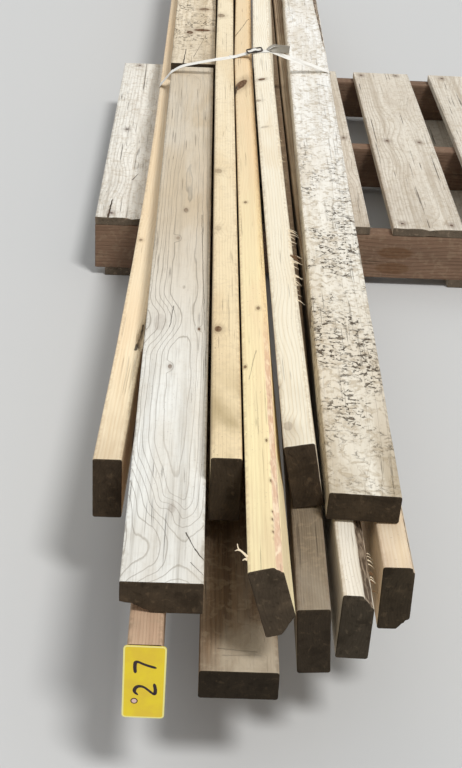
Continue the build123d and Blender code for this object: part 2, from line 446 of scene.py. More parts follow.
@dataclass(frozen=True)
class PineFinish:
    """Sawn pine: growth rings round a wandering pith, streaks, mould and dirt.

    Reaches are places along the stick between which something sets in or fades out.
    """

    name: str
    pale: Colour
    ring: Colour
    stain: Colour
    # Colour that sets in toward the far end: the wood's own tone, and on the trough sticks also
    # painted shade of the trough.
    far_tone_and_trough_shade: Colour | None = None
    far_reach: tuple[float, float] = (0.15, 1.8)
    end: Colour = linear(68, 57, 44)
    far_end: Colour = linear(176, 146, 108)
    bark: Colour = linear(96, 78, 62)
    bark_light: Colour = linear(190, 172, 150)
    bark_reach: tuple[float, float] = (9.0, 8.0)
    top: float = 0.0445
    pith: tuple[float, float] = (0.07, 0.0)
    ring_gap: float = 0.0045
    ring_start: float = 0.45
    ring_depth: float = 0.5
    wander: float = 0.008
    stain_share: float = 0.3
    streak_depth: float = 0.25
    fibre_depth: float = 0.30
    specks: float = 0.3
    mottle: float = 0.0
    torn_marks: float = 0.0
    torn_reach: tuple[float, float] = (1.45, 0.85)
    checks: float = 0.25
    edge_wear: float = 0.35
    edge_colour: Colour = linear(120, 100, 78)
    roughness: float = 0.82
    relief: float = 0.0006
    near_grime: float = 0.3
    grime: Colour = linear(146, 132, 114)
    side_knots: float = 1.0
    knots: tuple[Knot, ...] = ()
    cracks: tuple[Crack, ...] = ()
    knot_heart: Colour = linear(98, 66, 38)
    # Dark of the cracks, which on the left stud's chip is painted shade in the notch.
    crack_dark_and_chip_shade: Colour = linear(60, 48, 38)
    check_dark: Colour = linear(70, 56, 44)
    torn_dark: Colour = linear(84, 66, 46)
    mould: Colour = linear(88, 74, 60)
    blotch: Colour = linear(176, 158, 130)
    rust_stain: Colour = linear(92, 58, 36)

    def materials(self) -> tuple[bpy.types.Material, bpy.types.Material]:
        """Make the finish's materials once for all the pieces that share it.

        Returns:
            The materials of the long faces and of the ends.
        """
        made = bpy.data.materials
        return (made.get(f"{self.name}_sides") or self.side(),
                made.get(f"{self.name}_ends") or self.cut())

    def side(self) -> bpy.types.Material:
        """Make up the long faces, from the bare wood out to the dirt on it.

        Returns:
            Their material.
        """
        r = WoodRecipe(f"{self.name}_sides", self.pale)
        depth = ((r.up - self.top) / -KNOT_DEPTH).at_least(0.0)
        fibres = r.grain((520, 11, 520), 3.0)
        streaks = r.grain((85, 1.3, 85), 3.0, (3, 0, 1))
        patches = r.grain((16, 3.2, 16), 4.0, fold=0.6)
        broad = r.grain((5, 1.1, 5), 2.0, (9, 4, 2))
        ragged = r.grain((170, 120, 170), 3.0)
        radius, dark = self.bend_round_knots(r, self.ring_radius(r), depth)
        line = self.ring_line(r, radius)
        r.height = fibres * 0.7 - line * 0.4

        # Paints the far-end colour: the wood's own tone, and on the trough sticks painted shade as
        # well.
        if self.far_tone_and_trough_shade is not None:
            r.paint(r.along.band(*self.far_reach), self.far_tone_and_trough_shade)
        strength = broad.band(0.30, 0.68) * (patches + 0.45) + 0.25
        r.paint(line * (strength * self.ring_depth), self.ring)
        r.paint(patches.band(0.42, 0.70) * self.stain_share, self.stain)
        r.paint(streaks.band(0.48, 0.72) * self.streak_depth, self.ring)
        r.paint(fibres.band(0.47, 0.75) * self.fibre_depth, self.ring)
        r.paint(broad.band(0.56, 0.34) * 0.22, self.stain)
        self.weather(r)
        r.paint(dark * (ragged * 0.8 + 0.55), self.knot_heart)
        self.split_open(r, depth)
        dirt = r.along.band(0.30, 0.0) * self.near_grime
        r.paint(dirt * patches.band(0.34, 0.62), self.grime)
        worn = r.read(EDGE, "Fac") * ragged.band(0.38, 0.62)
        r.paint(worn * self.edge_wear, self.edge_colour)
        self.show_bark(r)
        r.paint(r.read(RUST, "Fac") * (ragged + 0.4), self.rust_stain)
        return r.finish(r.colour, self.roughness, r.height, self.relief, specular=0.25)

    def ring_radius(self, r: WoodRecipe) -> Value:
        """Distance from the pith, bent by the tree's growth.

        Args:
            r: Material in the making.

        Returns:
            The bent distance.
        """
        x, z = r.across - self.pith[0], r.up - self.pith[1]
        radius = (x * x + z * z).root() + r.grain((5, 0.9, 5)) * self.wander
        radius = radius + r.grain((24, 3.5, 24), 2.0, (2, 7, 4)) * (self.wander * 0.22)
        return radius + r.grain((90, 16, 90), 2.0, (6, 1, 8)) * 0.0016

    def bend_round_knots(self, r: WoodRecipe, radius: Value, depth: Value) -> tuple[Value, Value]:
        """Push the rings aside at the knots and darken the knots.

        Args:
            r: Material in the making.
            radius: Distance from the pith.
            depth: Depth under the upper face, as a share of a knot's own depth.

        Returns:
            The new distance from the pith, and how dark the knots are.
        """
        far = r.knots_around()
        low = r.up.band(self.top - 0.004, self.top - 0.016)
        radius = radius + far.band(0.42, 0.08) * 0.007
        dark = far.band(0.125, 0.09) * low * (0.75 * self.side_knots)
        for knot in self.knots:
            gap = knot.distance(r, depth)
            radius = radius + gap.band(3.6, 0.5) * knot.width
            dark = dark.at_least(gap.band(1.12, 0.80) * knot.darkness)
            dark = dark.at_least(gap.band(2.6, 0.8) * (knot.darkness * 0.35))
        return radius, dark

    def ring_line(self, r: WoodRecipe, radius: Value) -> Value:
        """Dark late wood of each year, as 1 where it is darkest."""
        turn = r.math("FRACT", radius / self.ring_gap)
        return turn.band(self.ring_start, 0.93) * turn.band(1.0, 0.95)

    def weather(self, r: WoodRecipe) -> None:
        """Add mould specks, mottling, torn grain and drying checks.

        Args:
            r: Material in the making.
        """
        if self.specks:
            dots = r.grain((420, 330, 420)).band(0.66, 0.74)
            shown = dots * r.grain((16, 5, 16), 3.0, (3, 1, 7)).band(0.48, 0.62)
            r.paint(shown * self.specks, self.mould)
        if self.mottle:
            blots = r.grain((85, 75, 85), 5.0, fold=0.9).band(0.48, 0.66) * self.mottle
            r.paint(blots, self.blotch)
            r.sink(blots * 0.7)
        if self.torn_marks:
            self.tear(r)
        if self.checks:
            slit = r.grain((330, 5, 330), 1.0, (1, 3, 2)).band(0.66, 0.72)
            slit = slit * r.grain((30, 6, 30), 2.0, (8, 8, 1)).band(0.48, 0.58)
            r.paint(slit * self.checks, self.check_dark)
            r.sink(slit * 1.5)

    def tear(self, r: WoodRecipe) -> None:
        """Add small dark crescents and pits of torn grain, in clusters.

        Args:
            r: Material in the making.
        """
        lines = r.crescents(72, 0.11, 0.014)
        broken = r.grain((120, 110, 120), 3.0, (5, 5, 5)).band(0.50, 0.60)
        cluster = r.grain((26, 15, 26), 3.0, (7, 1, 3))
        reach = r.along.band(*self.torn_reach) * 0.88 + 0.12
        reach = reach * (r.along.band(0.0, 0.22) + 0.35)
        pits = r.grain((130, 210, 130), 3.0, (1, 9, 4), 0.8).band(0.61, 0.69)
        pits = pits * cluster.band(0.46, 0.58) * reach
        torn = (lines * broken * (cluster.band(0.42, 0.60) * reach)).at_least(pits)
        r.paint(torn * self.torn_marks, self.torn_dark)
        r.sink(torn * 2.2)

    def split_open(self, r: WoodRecipe, depth: Value) -> None:
        """Add the cracks; on the left stud one of them is painted shade along a chipped notch.

        Args:
            r: Material in the making.
            depth: Depth under the upper face, as a share of a knot's own depth.
        """
        place = r.ragged_place() if self.cracks else None
        for crack in self.cracks:
            # Crack colour; on the left stud one stripe is painted shade in a chipped notch.
            opening = crack.opening(r, place) * depth.band(0.5, 0.2)
            r.paint(opening, self.crack_dark_and_chip_shade)
            r.sink(opening * 2.5)

    def show_bark(self, r: WoodRecipe) -> None:
        """Add inner bark with ragged edges where a corner of the log was round.

        Args:
            r: Material in the making.
        """
        ragged = r.grain((80, 26, 80), 4.0)
        flakes = r.grain((150, 45, 150), 3.0, (4, 4, 4), 0.5)
        bark = (r.read(BARK, "Fac") + (ragged - 0.5) * 0.5).band(0.12, 0.30)
        bark = bark * r.along.band(*self.bark_reach)
        r.paint(bark, r.mix(flakes.band(0.40, 0.66), self.bark, self.bark_light))
        r.height = r.height + bark * (flakes * 2.2)

    def cut(self) -> bpy.types.Material:
        """Make up the sawn ends, which are darker and dirtier.

        Returns:
            Their material.
        """
        r = WoodRecipe(f"{self.name}_ends", self.end)
        r.paint(r.along.band(0.2, 0.5), self.far_end)
        darker = r.mix(1.0, r.colour, (0.45, 0.42, 0.38), "MULTIPLY")
        lighter = r.mix(1.0, r.colour, (1.9, 1.85, 1.8), "MULTIPLY")
        cloud = r.grain((38, 38, 38), 4.0, fold=0.4)
        worn = r.grain((120, 120, 120), 4.0, (2, 2, 2), 0.5)
        saw = r.grain((700, 1, 60))
        r.height = saw * 0.8 + r.grain((900, 900, 900))
        line = self.ring_line(r, self.ring_radius(r) + cloud * 0.003)
        for share, colour in (
            (line * (worn * 0.45), darker),
            (cloud.band(0.52, 0.80) * 0.6, lighter), (cloud.band(0.48, 0.30) * 0.6, darker),
            (worn.band(0.56, 0.72) * 0.8, lighter), (worn.band(0.44, 0.30) * 0.6, darker),
            (saw.band(0.50, 0.70) * 0.25, darker),
        ):
            r.paint(share, colour)
        return r.finish(r.colour, 0.9, r.height, 0.0006, specular=0.15)


def add_piece(name: str, bm: bmesh.types.BMesh, materials: Sequence[bpy.types.Material],
              nodes: Sequence[str] = (), sharp: float = 40) -> bpy.types.Object:
    """Turn a finished mesh into a piece that rides on the part.

    Args:
        name: Name of the piece.
        bm: Its mesh, which is used up.
        materials: Materials by index.
        nodes: Construction nodes that it stands for.
        sharp: Angle from which an edge stays sharp, in degrees.

    Returns:
        The piece.
    """
    bmesh.ops.recalc_face_normals(bm, faces=bm.faces)
    mesh = bpy.data.meshes.new(name)
    bm.to_mesh(mesh)
    bm.free()
    mesh.shade_smooth()
    mesh.set_sharp_from_angle(angle=math.radians(sharp))
    for material in materials:
        mesh.materials.append(material)
    piece = bpy.data.objects.new(name, mesh)
    bpy.context.scene.collection.objects.link(piece)
    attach(piece, "root")
    if nodes:
        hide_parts(*nodes)
    return piece


class Assembly(Protocol):
    """Anything that adds its own pieces to the scene."""

    def build(self, frame: dict) -> list[bpy.types.Object]:
        """Build the pieces.

        Args:
            frame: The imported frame.

        Returns:
            The pieces.
        """


class Layout(Enum):
    """Which way a stick runs."""

    ALONG_Y = "along_y"
    ALONG_X = "along_x"

    def to_frame(self, across: float, along: float, up: float) -> Vector:
        """Turn a stick's own directions into the frame's.

        Args:
            across: Place across the stick.
            along: Place along it.
            up: Place up.

        Returns:
            The place in the frame.
        """
        if self is Layout.ALONG_X:
            return Vector((along, -across, up))
        return Vector((across, along, up))

    def from_frame(self, point: Vector) -> Triple:
        """Turn a point of the frame into the stick's own directions.

        Args:
            point: The point.

        Returns:
            Its place across, along and up the stick.
        """
        if self is Layout.ALONG_X:
            return -point.y, point.x, point.z
        return point.x, point.y, point.z


class Rings:
    """Sections of one construction stick, read ring by ring from its solid."""

    PLACES_PER_METRE = 1e4
    LEAST_CORNERS = 8
    LEAST_GIRTH = 0.72
    LEAST_CROSS = 1e-12
    CORNER_SLACK = 1e-6

    def __init__(self, node: bpy.types.Object, layout: Layout = Layout.ALONG_Y) -> None:
        """Group the solid's corners into full rings.

        Args:
            node: The stick's object in the frame.
            layout: Which way the stick runs.
        """
        groups: dict[int, set[tuple[float, float]]] = {}
        for vertex in node.data.vertices:
            across, along, up = layout.from_frame(vertex.co)
            corner = round(across, 6), round(up, 6)
            groups.setdefault(round(along * self.PLACES_PER_METRE), set()).add(corner)
        least = self.LEAST_GIRTH * max(self.girth(points) for points in groups.values())
        self.along: list[float] = []
        self.middles: list[Vector] = []
        self.leans: list[float] = []
        self.loops: list[list[Vector]] = []
        self.width = self.height = 0.0
        for key, points in sorted(groups.items()):
            if len(points) >= self.LEAST_CORNERS and self.girth(points) > least:
                self.add_ring(key / self.PLACES_PER_METRE,
                              [Vector((x, 0.0, z)) for x, z in points])

    @staticmethod
    def girth(points: Iterable[tuple[float, float]]) -> float:
        """Half the way round the box of some points."""
        xs, zs = zip(*points)
        return max(xs) - min(xs) + max(zs) - min(zs)

    def add_ring(self, along: float, points: list[Vector]) -> None:
        """Order one ring and note its middle and lean.

        Args:
            along: Where the ring is.
            points: Its corners in any order.
        """
        rough = sum(points, Vector()) / len(points)
        points.sort(key=lambda p: math.atan2(p.z - rough.z, p.x - rough.x))
        edges = [b - a for a, b in zip(points, points[1:] + points[:1])]
        longest = max(edges, key=lambda edge: edge.length)
        lean = math.atan2(longest.z, longest.x) % (math.pi / 2)
        if lean > math.pi / 4:
            lean -= math.pi / 2
        turned = [Matrix.Rotation(lean, 3, "Y") @ (p - rough) for p in points]
        low, high = (Vector([end(p[axis] for p in turned) for axis in range(3)])
                     for end in (min, max))
        centre = (low + high) / 2
        self.width, self.height = high.x - low.x, high.z - low.z
        self.along.append(along)
        self.leans.append(lean)
        self.middles.append(Matrix.Rotation(-lean, 3, "Y") @ centre + rough)
        self.loops.append([p - centre for p in turned])

    def reach(self, ring: int, toward: Vector) -> float:
        """How far the ring's edge is from its middle in one direction.

        Args:
            ring: Number of the ring.
            toward: Direction across the stick.

        Returns:
            The distance as a share of the direction's length.
        """
        loop = self.loops[ring]
        for a, b in zip(loop, loop[1:] + loop[:1]):
            edge = b - a
            cross = toward.x * edge.z - toward.z * edge.x
            if abs(cross) < self.LEAST_CROSS:
                continue
            share = (a.x * edge.z - a.z * edge.x) / cross
            way = (a.x * toward.z - a.z * toward.x) / cross
            if share > 0 and -self.CORNER_SLACK <= way <= 1 + self.CORNER_SLACK:
                return share
        return 1.0

    def find(self, along: float) -> tuple[int, float]:
        """Find a place along the stick among its rings.

        Args:
            along: The place.

        Returns:
            Number of the ring before it, and the share of the way to the next one.
        """
        ring = 0
        while ring < len(self.along) - 2 and along > self.along[ring + 1]:
            ring += 1
        return ring, (along - self.along[ring]) / (self.along[ring + 1] - self.along[ring])

    def pose(self, along: float) -> tuple[Vector, float]:
        """How the section stands at a place along the stick.

        Args:
            along: The place.

        Returns:
            The section's middle and lean.
        """
        ring, share = self.find(along)
        middle = self.middles[ring].lerp(self.middles[ring + 1], share)
        return middle, self.leans[ring] * (1 - share) + self.leans[ring + 1] * share

    def corner(self, along: float, side: int, rise: int) -> Vector:
        """Corner of the section at a place along the stick, in the frame.

        Args:
            along: Place along Y.
            side: -1 for the left corner, 1 for the right one.
            rise: -1 for the bottom corner, 1 for the top one.

        Returns:
            The corner's place.
        """
        middle, lean = self.pose(along)
        offset = Vector((side * self.width / 2, 0, rise * self.height / 2))
        corner = middle + Matrix.Rotation(-lean, 3, "Y") @ offset
        return Vector((corner.x, along, corner.z))


@dataclass(frozen=True)
class Dent:
    """A place where wood is broken or worn away."""

    across: float
    along: float
    up: float
    width: float
    length: float
    depth: float

    def cut(self, place: Vector) -> float:
        """Depth of the dent at a place.

        Args:
            place: Place on the stick.

        Returns:
            How far the wood is gone there.
        """
        gap = math.hypot((place.x - self.across) / self.width,
                         (place.y - self.along) / self.length, (place.z - self.up) / self.width)
        return self.depth * max(0.0, 1.0 - gap * gap)


@dataclass(frozen=True)
class Wane:
    """A round corner of the log that grows along the stick."""

    LEAST_SHARE = 0.02

    side: int
    rise: int
    start: float
    end: float
    across: float
    down: float

    def hold(self, place: Vector, width: float, height: float) -> Vector:
        """Pull a place on the stick inside the round corner.

        Args:
            place: The place.
            width: Section width.
            height: Section height.

        Returns:
            The place, moved inward where it lay outside.
        """
        share = min(1.0, max(0.0, (place.y - self.start) / (self.end - self.start)))
        if share < self.LEAST_SHARE:
            return place
        across, down = self.across * share, self.down * share
        limit = 1 + (width / 2 - across) / across + (height / 2 - down) / down
        here = self.side * place.x / across + self.rise * place.z / down
        inward = min(1.0, limit / here) if here > 0 else 1.0
        return Vector((place.x * inward, place.y, place.z * inward))


@dataclass
class Timber:
    """One sawn stick, wrapped round the sections of its construction solid.

    The waves are how often the wear repeats in a metre across the stick and along it.
    """

    ARC_STEPS = 3
    LEAST_ROWS = 8
    SAW_WAVES = (70, 9)
    SWELL_WAVES = (5, 2.4)
    TORN_WAVES = (160, 34)
    RUST_DARKEST = 0.8
    RUST_STRETCH = 0.6

    node: str
    slot: Finish
    finish: PineFinish
    layout: Layout = Layout.ALONG_Y
    ring_spacing: float = 0.014
    side_points: float = 0.004
    arris: float = 0.003
    roughness: float = 0.0004
    waviness: float = 0.0006
    raggedness: float = 0.0022
    bark_depth: float = 0.010
    bare_bark: float = 0.0015
    end_bite: float = 0.0010
    rust_reach: float = 0.013
    dents: tuple[Dent, ...] = ()
    wanes: tuple[Wane, ...] = ()
    nails: tuple[tuple[float, float], ...] = ()
    seed: float = 0.0

    def outline(self, width: float, height: float) -> tuple[list[Vector], list[float]]:
        """Points round a sawn section with eased corners.

        Args:
            width: Section width.
            height: Section height.

        Returns:
            The points in order, and how much each one belongs to a corner.
        """
        arcs = []
        for number, (side, rise) in enumerate(((1, 1), (-1, 1), (-1, -1), (1, -1))):
            middle = Vector((side * (width / 2 - self.arris), 0, rise * (height / 2 - self.arris)))
            turns = ((number / 2 + step / (2 * self.ARC_STEPS)) * math.pi
                     for step in range(self.ARC_STEPS + 1))
            arcs.append([middle + Vector((math.cos(turn), 0, math.sin(turn))) * self.arris
                         for turn in turns])
        points: list[Vector] = []
        worn: list[float] = []
        for arc, following in zip(arcs, arcs[1:] + arcs[:1]):
            first, last = arc[-1], following[0]
            steps = max(2, round((last - first).length / self.side_points))
            points += arc + [first.lerp(last, step / steps) for step in range(1, steps)]
            worn += [1.0] * len(arc) + [0.0] * (steps - 1)
        return points, worn

    def build(self, frame: dict) -> list[bpy.types.Object]:
        """Wrap a grid round the stick, roughen it and close its ends.

        Args:
            frame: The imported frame.

        Returns:
            The finished piece.
        """
        rings = Rings(frame["nodes"][self.node], self.layout)
        outline, worn = self.outline(rings.width, rings.height)
        near, far = rings.along[0], rings.along[-1]
        rows = max(self.LEAST_ROWS, round((far - near) / self.ring_spacing))
        columns = len(outline)
        reaches = [[min(1.0, rings.reach(ring, point)) for point in outline]
                   for ring in range(len(rings.along))]

        bm = bmesh.new()
        bmesh.ops.create_grid(bm, x_segments=columns, y_segments=rows, size=1)
        place_layer = bm.verts.layers.float_vector.new(PLACE)
        layers = [bm.verts.layers.float.new(name) for name in (BARK, EDGE, SEED, RUST)]
        for vertex in bm.verts:
            column = round((vertex.co.x + 1) / 2 * columns) % columns
            along = (far - near) * (vertex.co.y + 1) / 2
            ring, share = rings.find(near + along)
            middle, lean = rings.pose(near + along)
            reach = reaches[ring][column] * (1 - share) + reaches[ring + 1][column] * share
            nominal = outline[column] + Vector((0, along, 0))
            place = Vector((nominal.x * reach, along, nominal.z * reach))
            for wane in self.wanes:
                place = wane.hold(place, rings.width, rings.height)
            cut_back = (nominal - place).length
            place = self.wear(place, cut_back)
            turned = Matrix.Rotation(-lean, 3, "Y") @ place
            vertex.co = self.layout.to_frame(middle.x + turned.x, near + along,
                                             middle.z + turned.z)
            vertex[place_layer] = place
            shares = (cut_back / self.bark_depth, worn[column], self.seed, self.rust(place))
            for layer, value in zip(layers, shares):
                vertex[layer] = value
        bmesh.ops.remove_doubles(bm, verts=bm.verts, dist=1e-6)
        self.close_ends(bm)
        return [add_piece(f"{self.node}_wood", bm, self.finish.materials(),
                          (self.node,))]

    def wear(self, place: Vector, cut_back: float) -> Vector:
        """Move a place inward from where it was sawn.

        Args:
            place: Place on the stick.
            cut_back: How far a round corner is already cut back here.

        Returns:
            The worn place.
        """
        x, y, z = place
        across, along = self.SAW_WAVES
        saw_marks = noise.noise((x * across + self.seed, y * along, z * across))
        across, along = self.SWELL_WAVES
        swells = noise.noise((x * across, y * along + self.seed, z * across))
        depth = self.roughness * max(0.0, saw_marks) + self.waviness * max(0.0, swells)
        if cut_back > self.bare_bark:
            across, along = self.TORN_WAVES
            torn = noise.noise((x * across, y * along + self.seed, z * across))
            depth += self.raggedness * abs(torn)
        depth = max([depth] + [dent.cut(place) for dent in self.dents])
        return place - Vector((x, 0, z)).normalized() * depth

    def rust(self, place: Vector) -> float:
        """How rusty the wood is from a nail close by.

        Args:
            place: Place on the stick.

        Returns:
            The share of rust.
        """
        if not self.nails or place.z < 0:
            return 0.0
        gap = min(math.hypot(place.x - x, self.RUST_STRETCH * (place.y - y))
                  for x, y in self.nails)
        return self.RUST_DARKEST * max(0.0, 1.0 - gap / self.rust_reach)

    def close_ends(self, bm: bmesh.types.BMesh) -> None:
        """Cap both ends and ease their edges.

        Args:
            bm: The open sleeve.
        """
        open_edges = [edge for edge in bm.edges if edge.is_boundary]
        caps = bmesh.ops.holes_fill(bm, edges=open_edges, sides=0)["faces"]
        middles = [cap.calc_center_median() for cap in caps]
        whole = sum(middles, Vector()) / len(middles)
        for cap, middle in zip(caps, middles):
            cap.material_index = 1
            inward = (whole - middle).normalized() * self.end_bite
            rim = list(cap.verts)
            bmesh.ops.inset_individual(bm, faces=[cap], thickness=self.end_bite)
            for vertex in rim:
                vertex.co += inward


def heading(path: Sequence[Vector], number: int, closed: bool = False) -> Vector:
    """Direction of a path at one of its points.

    Args:
        path: The path.
        number: Number of the point.
        closed: Whether the path is a loop.

    Returns:
        The direction from the point before to the point after.
    """
    last = len(path) - 1
    before = path[number - 1] if closed or number else path[0]
    after = path[(number + 1) % len(path)] if closed or number < last else path[last]
    return (after - before).normalized()


def smooth_path(points: Sequence[Vector], radii: Sequence[float], steps: int = 5,
                closed: bool = False) -> list[Vector]:
    """Round the corners of a path with short curves.

    Args:
        points: Corner points.
        radii: Distance from each corner at which its curve starts.
        steps: Pieces in each curve.
        closed: Whether the last point joins the first.

    Returns:
        The points of the rounded path.
    """
    path: list[Vector] = []
    count = len(points)
    for number, (point, radius) in enumerate(zip(points, radii)):
        if not closed and number in (0, count - 1):
            path.append(point.copy())
            continue
        before = points[number - 1] - point
        after = points[(number + 1) % count] - point
        start = point + before.normalized() * min(radius, before.length * 0.49)
        end = point + after.normalized() * min(radius, after.length * 0.49)
        for step in range(steps + 1):
            share = step / steps
            path.append(start.lerp(point, share).lerp(point.lerp(end, share), share))
    return path


def subdivide(path: list[Vector], step: float, closed: bool = False) -> list[Vector]:
    """Add points so that no stretch of a path is longer than a step.

    Args:
        path: The path.
        step: The step.
        closed: Whether the path is a loop.

    Returns:
        The fuller path.
    """
    full: list[Vector] = []
    for a, b in zip(path, path[1:] + (path[:1] if closed else [])):
        count = max(1, math.ceil((b - a).length / step))
        full.extend(a.lerp(b, number / count) for number in range(count))
    return full if closed else full + [path[-1].copy()]


def skin(bm: bmesh.types.BMesh, rings: Sequence[Sequence[bmesh.types.BMVert]],
         closed: bool = False) -> None:
    """Join rings of points into a tube, and cap it unless it closes up.

    Args:
        bm: Mesh that holds the points.
        rings: Rings with as many points each.
        closed: Whether the last ring joins the first.
    """
    for low, high in zip(rings, (*rings[1:], rings[0]) if closed else rings[1:]):
        for side in range(len(low)):
            bm.faces.new((low[side - 1], low[side], high[side], high[side - 1]))
    if not closed:
        bm.faces.new(rings[0][::-1])
        bm.faces.new(rings[-1])


def sweep(bm: bmesh.types.BMesh, path: Sequence[Vector], radii: Sequence[float], sides: int,
          closed: bool = False, flatten: float = 1.0) -> None:
    """Run a round section along a path.

    Args:
        bm: Mesh that it is added to.
        path: Middle line.
        radii: Radius at each point.
        sides: Corners of the section.
        closed: Whether the path is a loop.
        flatten: Thickness as a share of the width.
    """
    rings = []
    aside = heading(path, 0, closed).orthogonal()
    for number, (point, radius) in enumerate(zip(path, radii)):
        ahead = heading(path, number, closed)
        aside = (aside - ahead * aside.dot(ahead)).normalized()
        other = ahead.cross(aside) * flatten
        turns = (2 * math.pi * side / sides for side in range(sides))
        rings.append([bm.verts.new(point + radius * (math.cos(turn) * aside
                                                     + math.sin(turn) * other))
                      for turn in turns])
    skin(bm, rings, closed)


@dataclass
class Ribbon:
    """A woven band laid along a path."""

    width: float = 0.019
    thickness: float = 0.0007
    segments_across: int = 6

    def lay(self, bm: bmesh.types.BMesh, path: Sequence[Vector], sideways: Sequence[Vector],
            closed: bool = False, start: float = 0.0) -> None:
        """Add a band to a mesh.

        Args:
            bm: Mesh that it is added to.
            path: Points of its inner face's middle line.
            sideways: Direction across the band at each point.
            closed: Whether the path is a loop.
            start: Distance along the weave at the first point.
        """
        layer = bm.verts.layers.float_vector.get(PLACE) or bm.verts.layers.float_vector.new(PLACE)
        shares = [step / self.segments_across for step in range(self.segments_across + 1)]
        outer = [(share, 1.0, -0.5) for share in shares]
        inner = [(share, 0.0, 0.25) for share in reversed(shares)]
        rings = []
        length = start
        for number, (point, side) in enumerate(zip(path, sideways)):
            out = side.cross(heading(path, number, closed)).normalized()
            length += (point - path[number - 1]).length if number else 0.0
            rings.append([])
            for share, level, curl in outer + inner:
                aside = (share - 0.5) * self.width
                rise = self.thickness * (level + curl * abs(2 * share - 1) ** 6)
                vertex = bm.verts.new(point + side * aside + out * rise)
                vertex[layer] = Vector((aside, length, self.thickness * level))
                rings[-1].append(vertex)
        skin(bm, rings, closed)


@dataclass
class Strap:
    """The taut woven strap with its doubled stretch and its tails.

    Places that end in _y are where it crosses a stick, humps are the shares of the way over the
    left board at which it stands off and how high, and bends are how far from each corner its
    curve starts. Places that end in _at are along the weave. The doubled stretch starts a little
    before the twisted stud's corner, and the tails start a little before the leaning stud's.
    """

    colour: Colour = linear(255, 252, 244)
    shade: Colour = linear(222, 214, 200)
    soil: Colour = linear(176, 164, 146)
    # Grey of painted shade on the lower tail.
    painted_tail_shade: Colour = linear(128, 120, 106)
    rib_pitch: float = 0.0021
    weave_pitch: float = 0.0028
    lift: float = 0.0003
    leg_y: float = 0.048
    board_y: float = 0.014
    inner_y: float = 0.003
    twisted_y: float = 0.029
    buckle_y: tuple[float, float] = (0.031, 0.020)
    right_y: float = 0.074
    span_twist: float = math.radians(15)
    humps: tuple[tuple[float, float], ...] = ((0.22, 0.0075), (0.55, 0.0050))
    bends: tuple[float, ...] = (0.003, 0.003, 0.003, 0.020, 0.030, 0.003, 0.020, 0.003, 0.003,
                                0.003, 0.003, 0.003)
    doubled_start: Triple = (-0.011, -0.002, 0)
    doubled_at: float = 1.0
    tails_start: Triple = (-0.004, 0, 0.0016)
    upper_tail_at: float = 1.3
    lower_tail_at: float = 1.6
    upper_tail: tuple[Triple, ...] = (
        (0, 0.004, 0.0002), (0.006, 0.009, 0.004), (0.014, 0.012, 0.0065),
        (0.026, 0.014, 0.0070), (0.039, 0.015, 0.0085))
    lower_tail: tuple[Triple, ...] = (
        (0, 0.001, 0.0006), (0.008, 0.005, 0.0020), (0.020, 0.006, 0.0030),
        (0.034, 0.005, 0.0028), (0.046, 0.003, 0.0015))
    upper_tail_tilt: float = math.radians(-14)
    lower_tail_turn: float = math.radians(104)
    lower_tail_pace: float = 2.2

    def material(self) -> bpy.types.Material:
        """White polyester weave, a little soiled, with painted shade greying the lower tail.

        Returns:
            Its material.
        """
        r = Recipe("woven_strap")
        place = r.read(PLACE)
        across, along, _ = r.split(place)
        rib = r.math("SINE", across * (2 * math.pi / self.rib_pitch))
        slope = along * (2 * math.pi / self.weave_pitch) + rib * 1.6
        weave = r.math("SINE", slope) * 0.5 + 0.5
        soil = r.noise(r.stretch(place, (60, 14, 60)), 1.0, 4.0).band(0.48, 0.72)
        # The lower tail stands on edge; here it is greyed with painted shade.
        start = self.lower_tail_at
        tail = along.band(start - 0.05, start) * along.band(start + 0.20, start + 0.15)
        colour = r.mix(weave * 0.30, self.colour, self.shade)
        colour = r.mix(soil * 0.55, colour, self.soil)
        colour = r.mix(tail * 0.75, colour, self.painted_tail_shade)
        return r.finish(colour, 0.6, weave + rib * 0.5, 0.0002, specular=0.35)

    def build(self, frame: dict) -> list[bpy.types.Object]:
        """Lay the closed loop, the doubled stretch and the tails.

        Args:
            frame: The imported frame.

        Returns:
            The finished piece.
        """
        ribbon = Ribbon()
        corners = self.corners(frame)
        path = subdivide(smooth_path(corners, self.bends, closed=True), 0.012, closed=True)
        ways = self.sideways(path, closed=True)
        twisted, left, right, far_edge = corners[6:10]
        self.twist_span(path, ways, right, far_edge)
        bm = bmesh.new()
        ribbon.lay(bm, path, ways, closed=True)
        self.lay_doubled(bm, ribbon, (twisted, left, right))
        self.lay_tails(bm, ribbon, right)
        return [add_piece("strap_band", bm, [self.material()], ("strap",), 50)]

    def corners(self, frame: dict) -> list[Vector]:
        """Places where the strap bends, once round the bundle.

        Args:
            frame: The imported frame.

        Returns:
            The places, from the lower left corner over the top.
        """
        def corner(stick: str, y: float, side: int, rise: int, out: int, up: int) -> Vector:
            """Corner of a stick, with the strap's lift outward and up from it."""
            place = Rings(frame["nodes"][stick]).corner(y, side, rise)
            return place + Vector((out, 0, up)) * self.lift

        edge = corner("upper_board_left_near", self.board_y, -1, 1, -1, 1)
        inner = corner("upper_stud_inner_left", self.inner_y, -1, 1, -1, 1)
        return [
            corner("lower_stud_left", self.leg_y, -1, -1, -1, -1),
            corner("lower_stud_left", self.leg_y, -1, 1, -1, 0),
            edge,
            *(edge.lerp(inner, share) + Vector((0, 0, rise)) for share, rise in self.humps),
            inner,
            corner("upper_stud_twisted", self.twisted_y, -1, 1, 0, 1),
            corner("upper_stud_inner_right", self.buckle_y[0], -1, 1, 0, 1),
            corner("upper_stud_inner_right", self.buckle_y[1], 1, 1, 0, 1),
            corner("upper_board_right", self.right_y, 1, 1, 1, 1),
            corner("upper_board_right", self.right_y, 1, -1, 1, 0),
            corner("lower_stud_right", self.right_y, 1, -1, 1, -1),
        ]

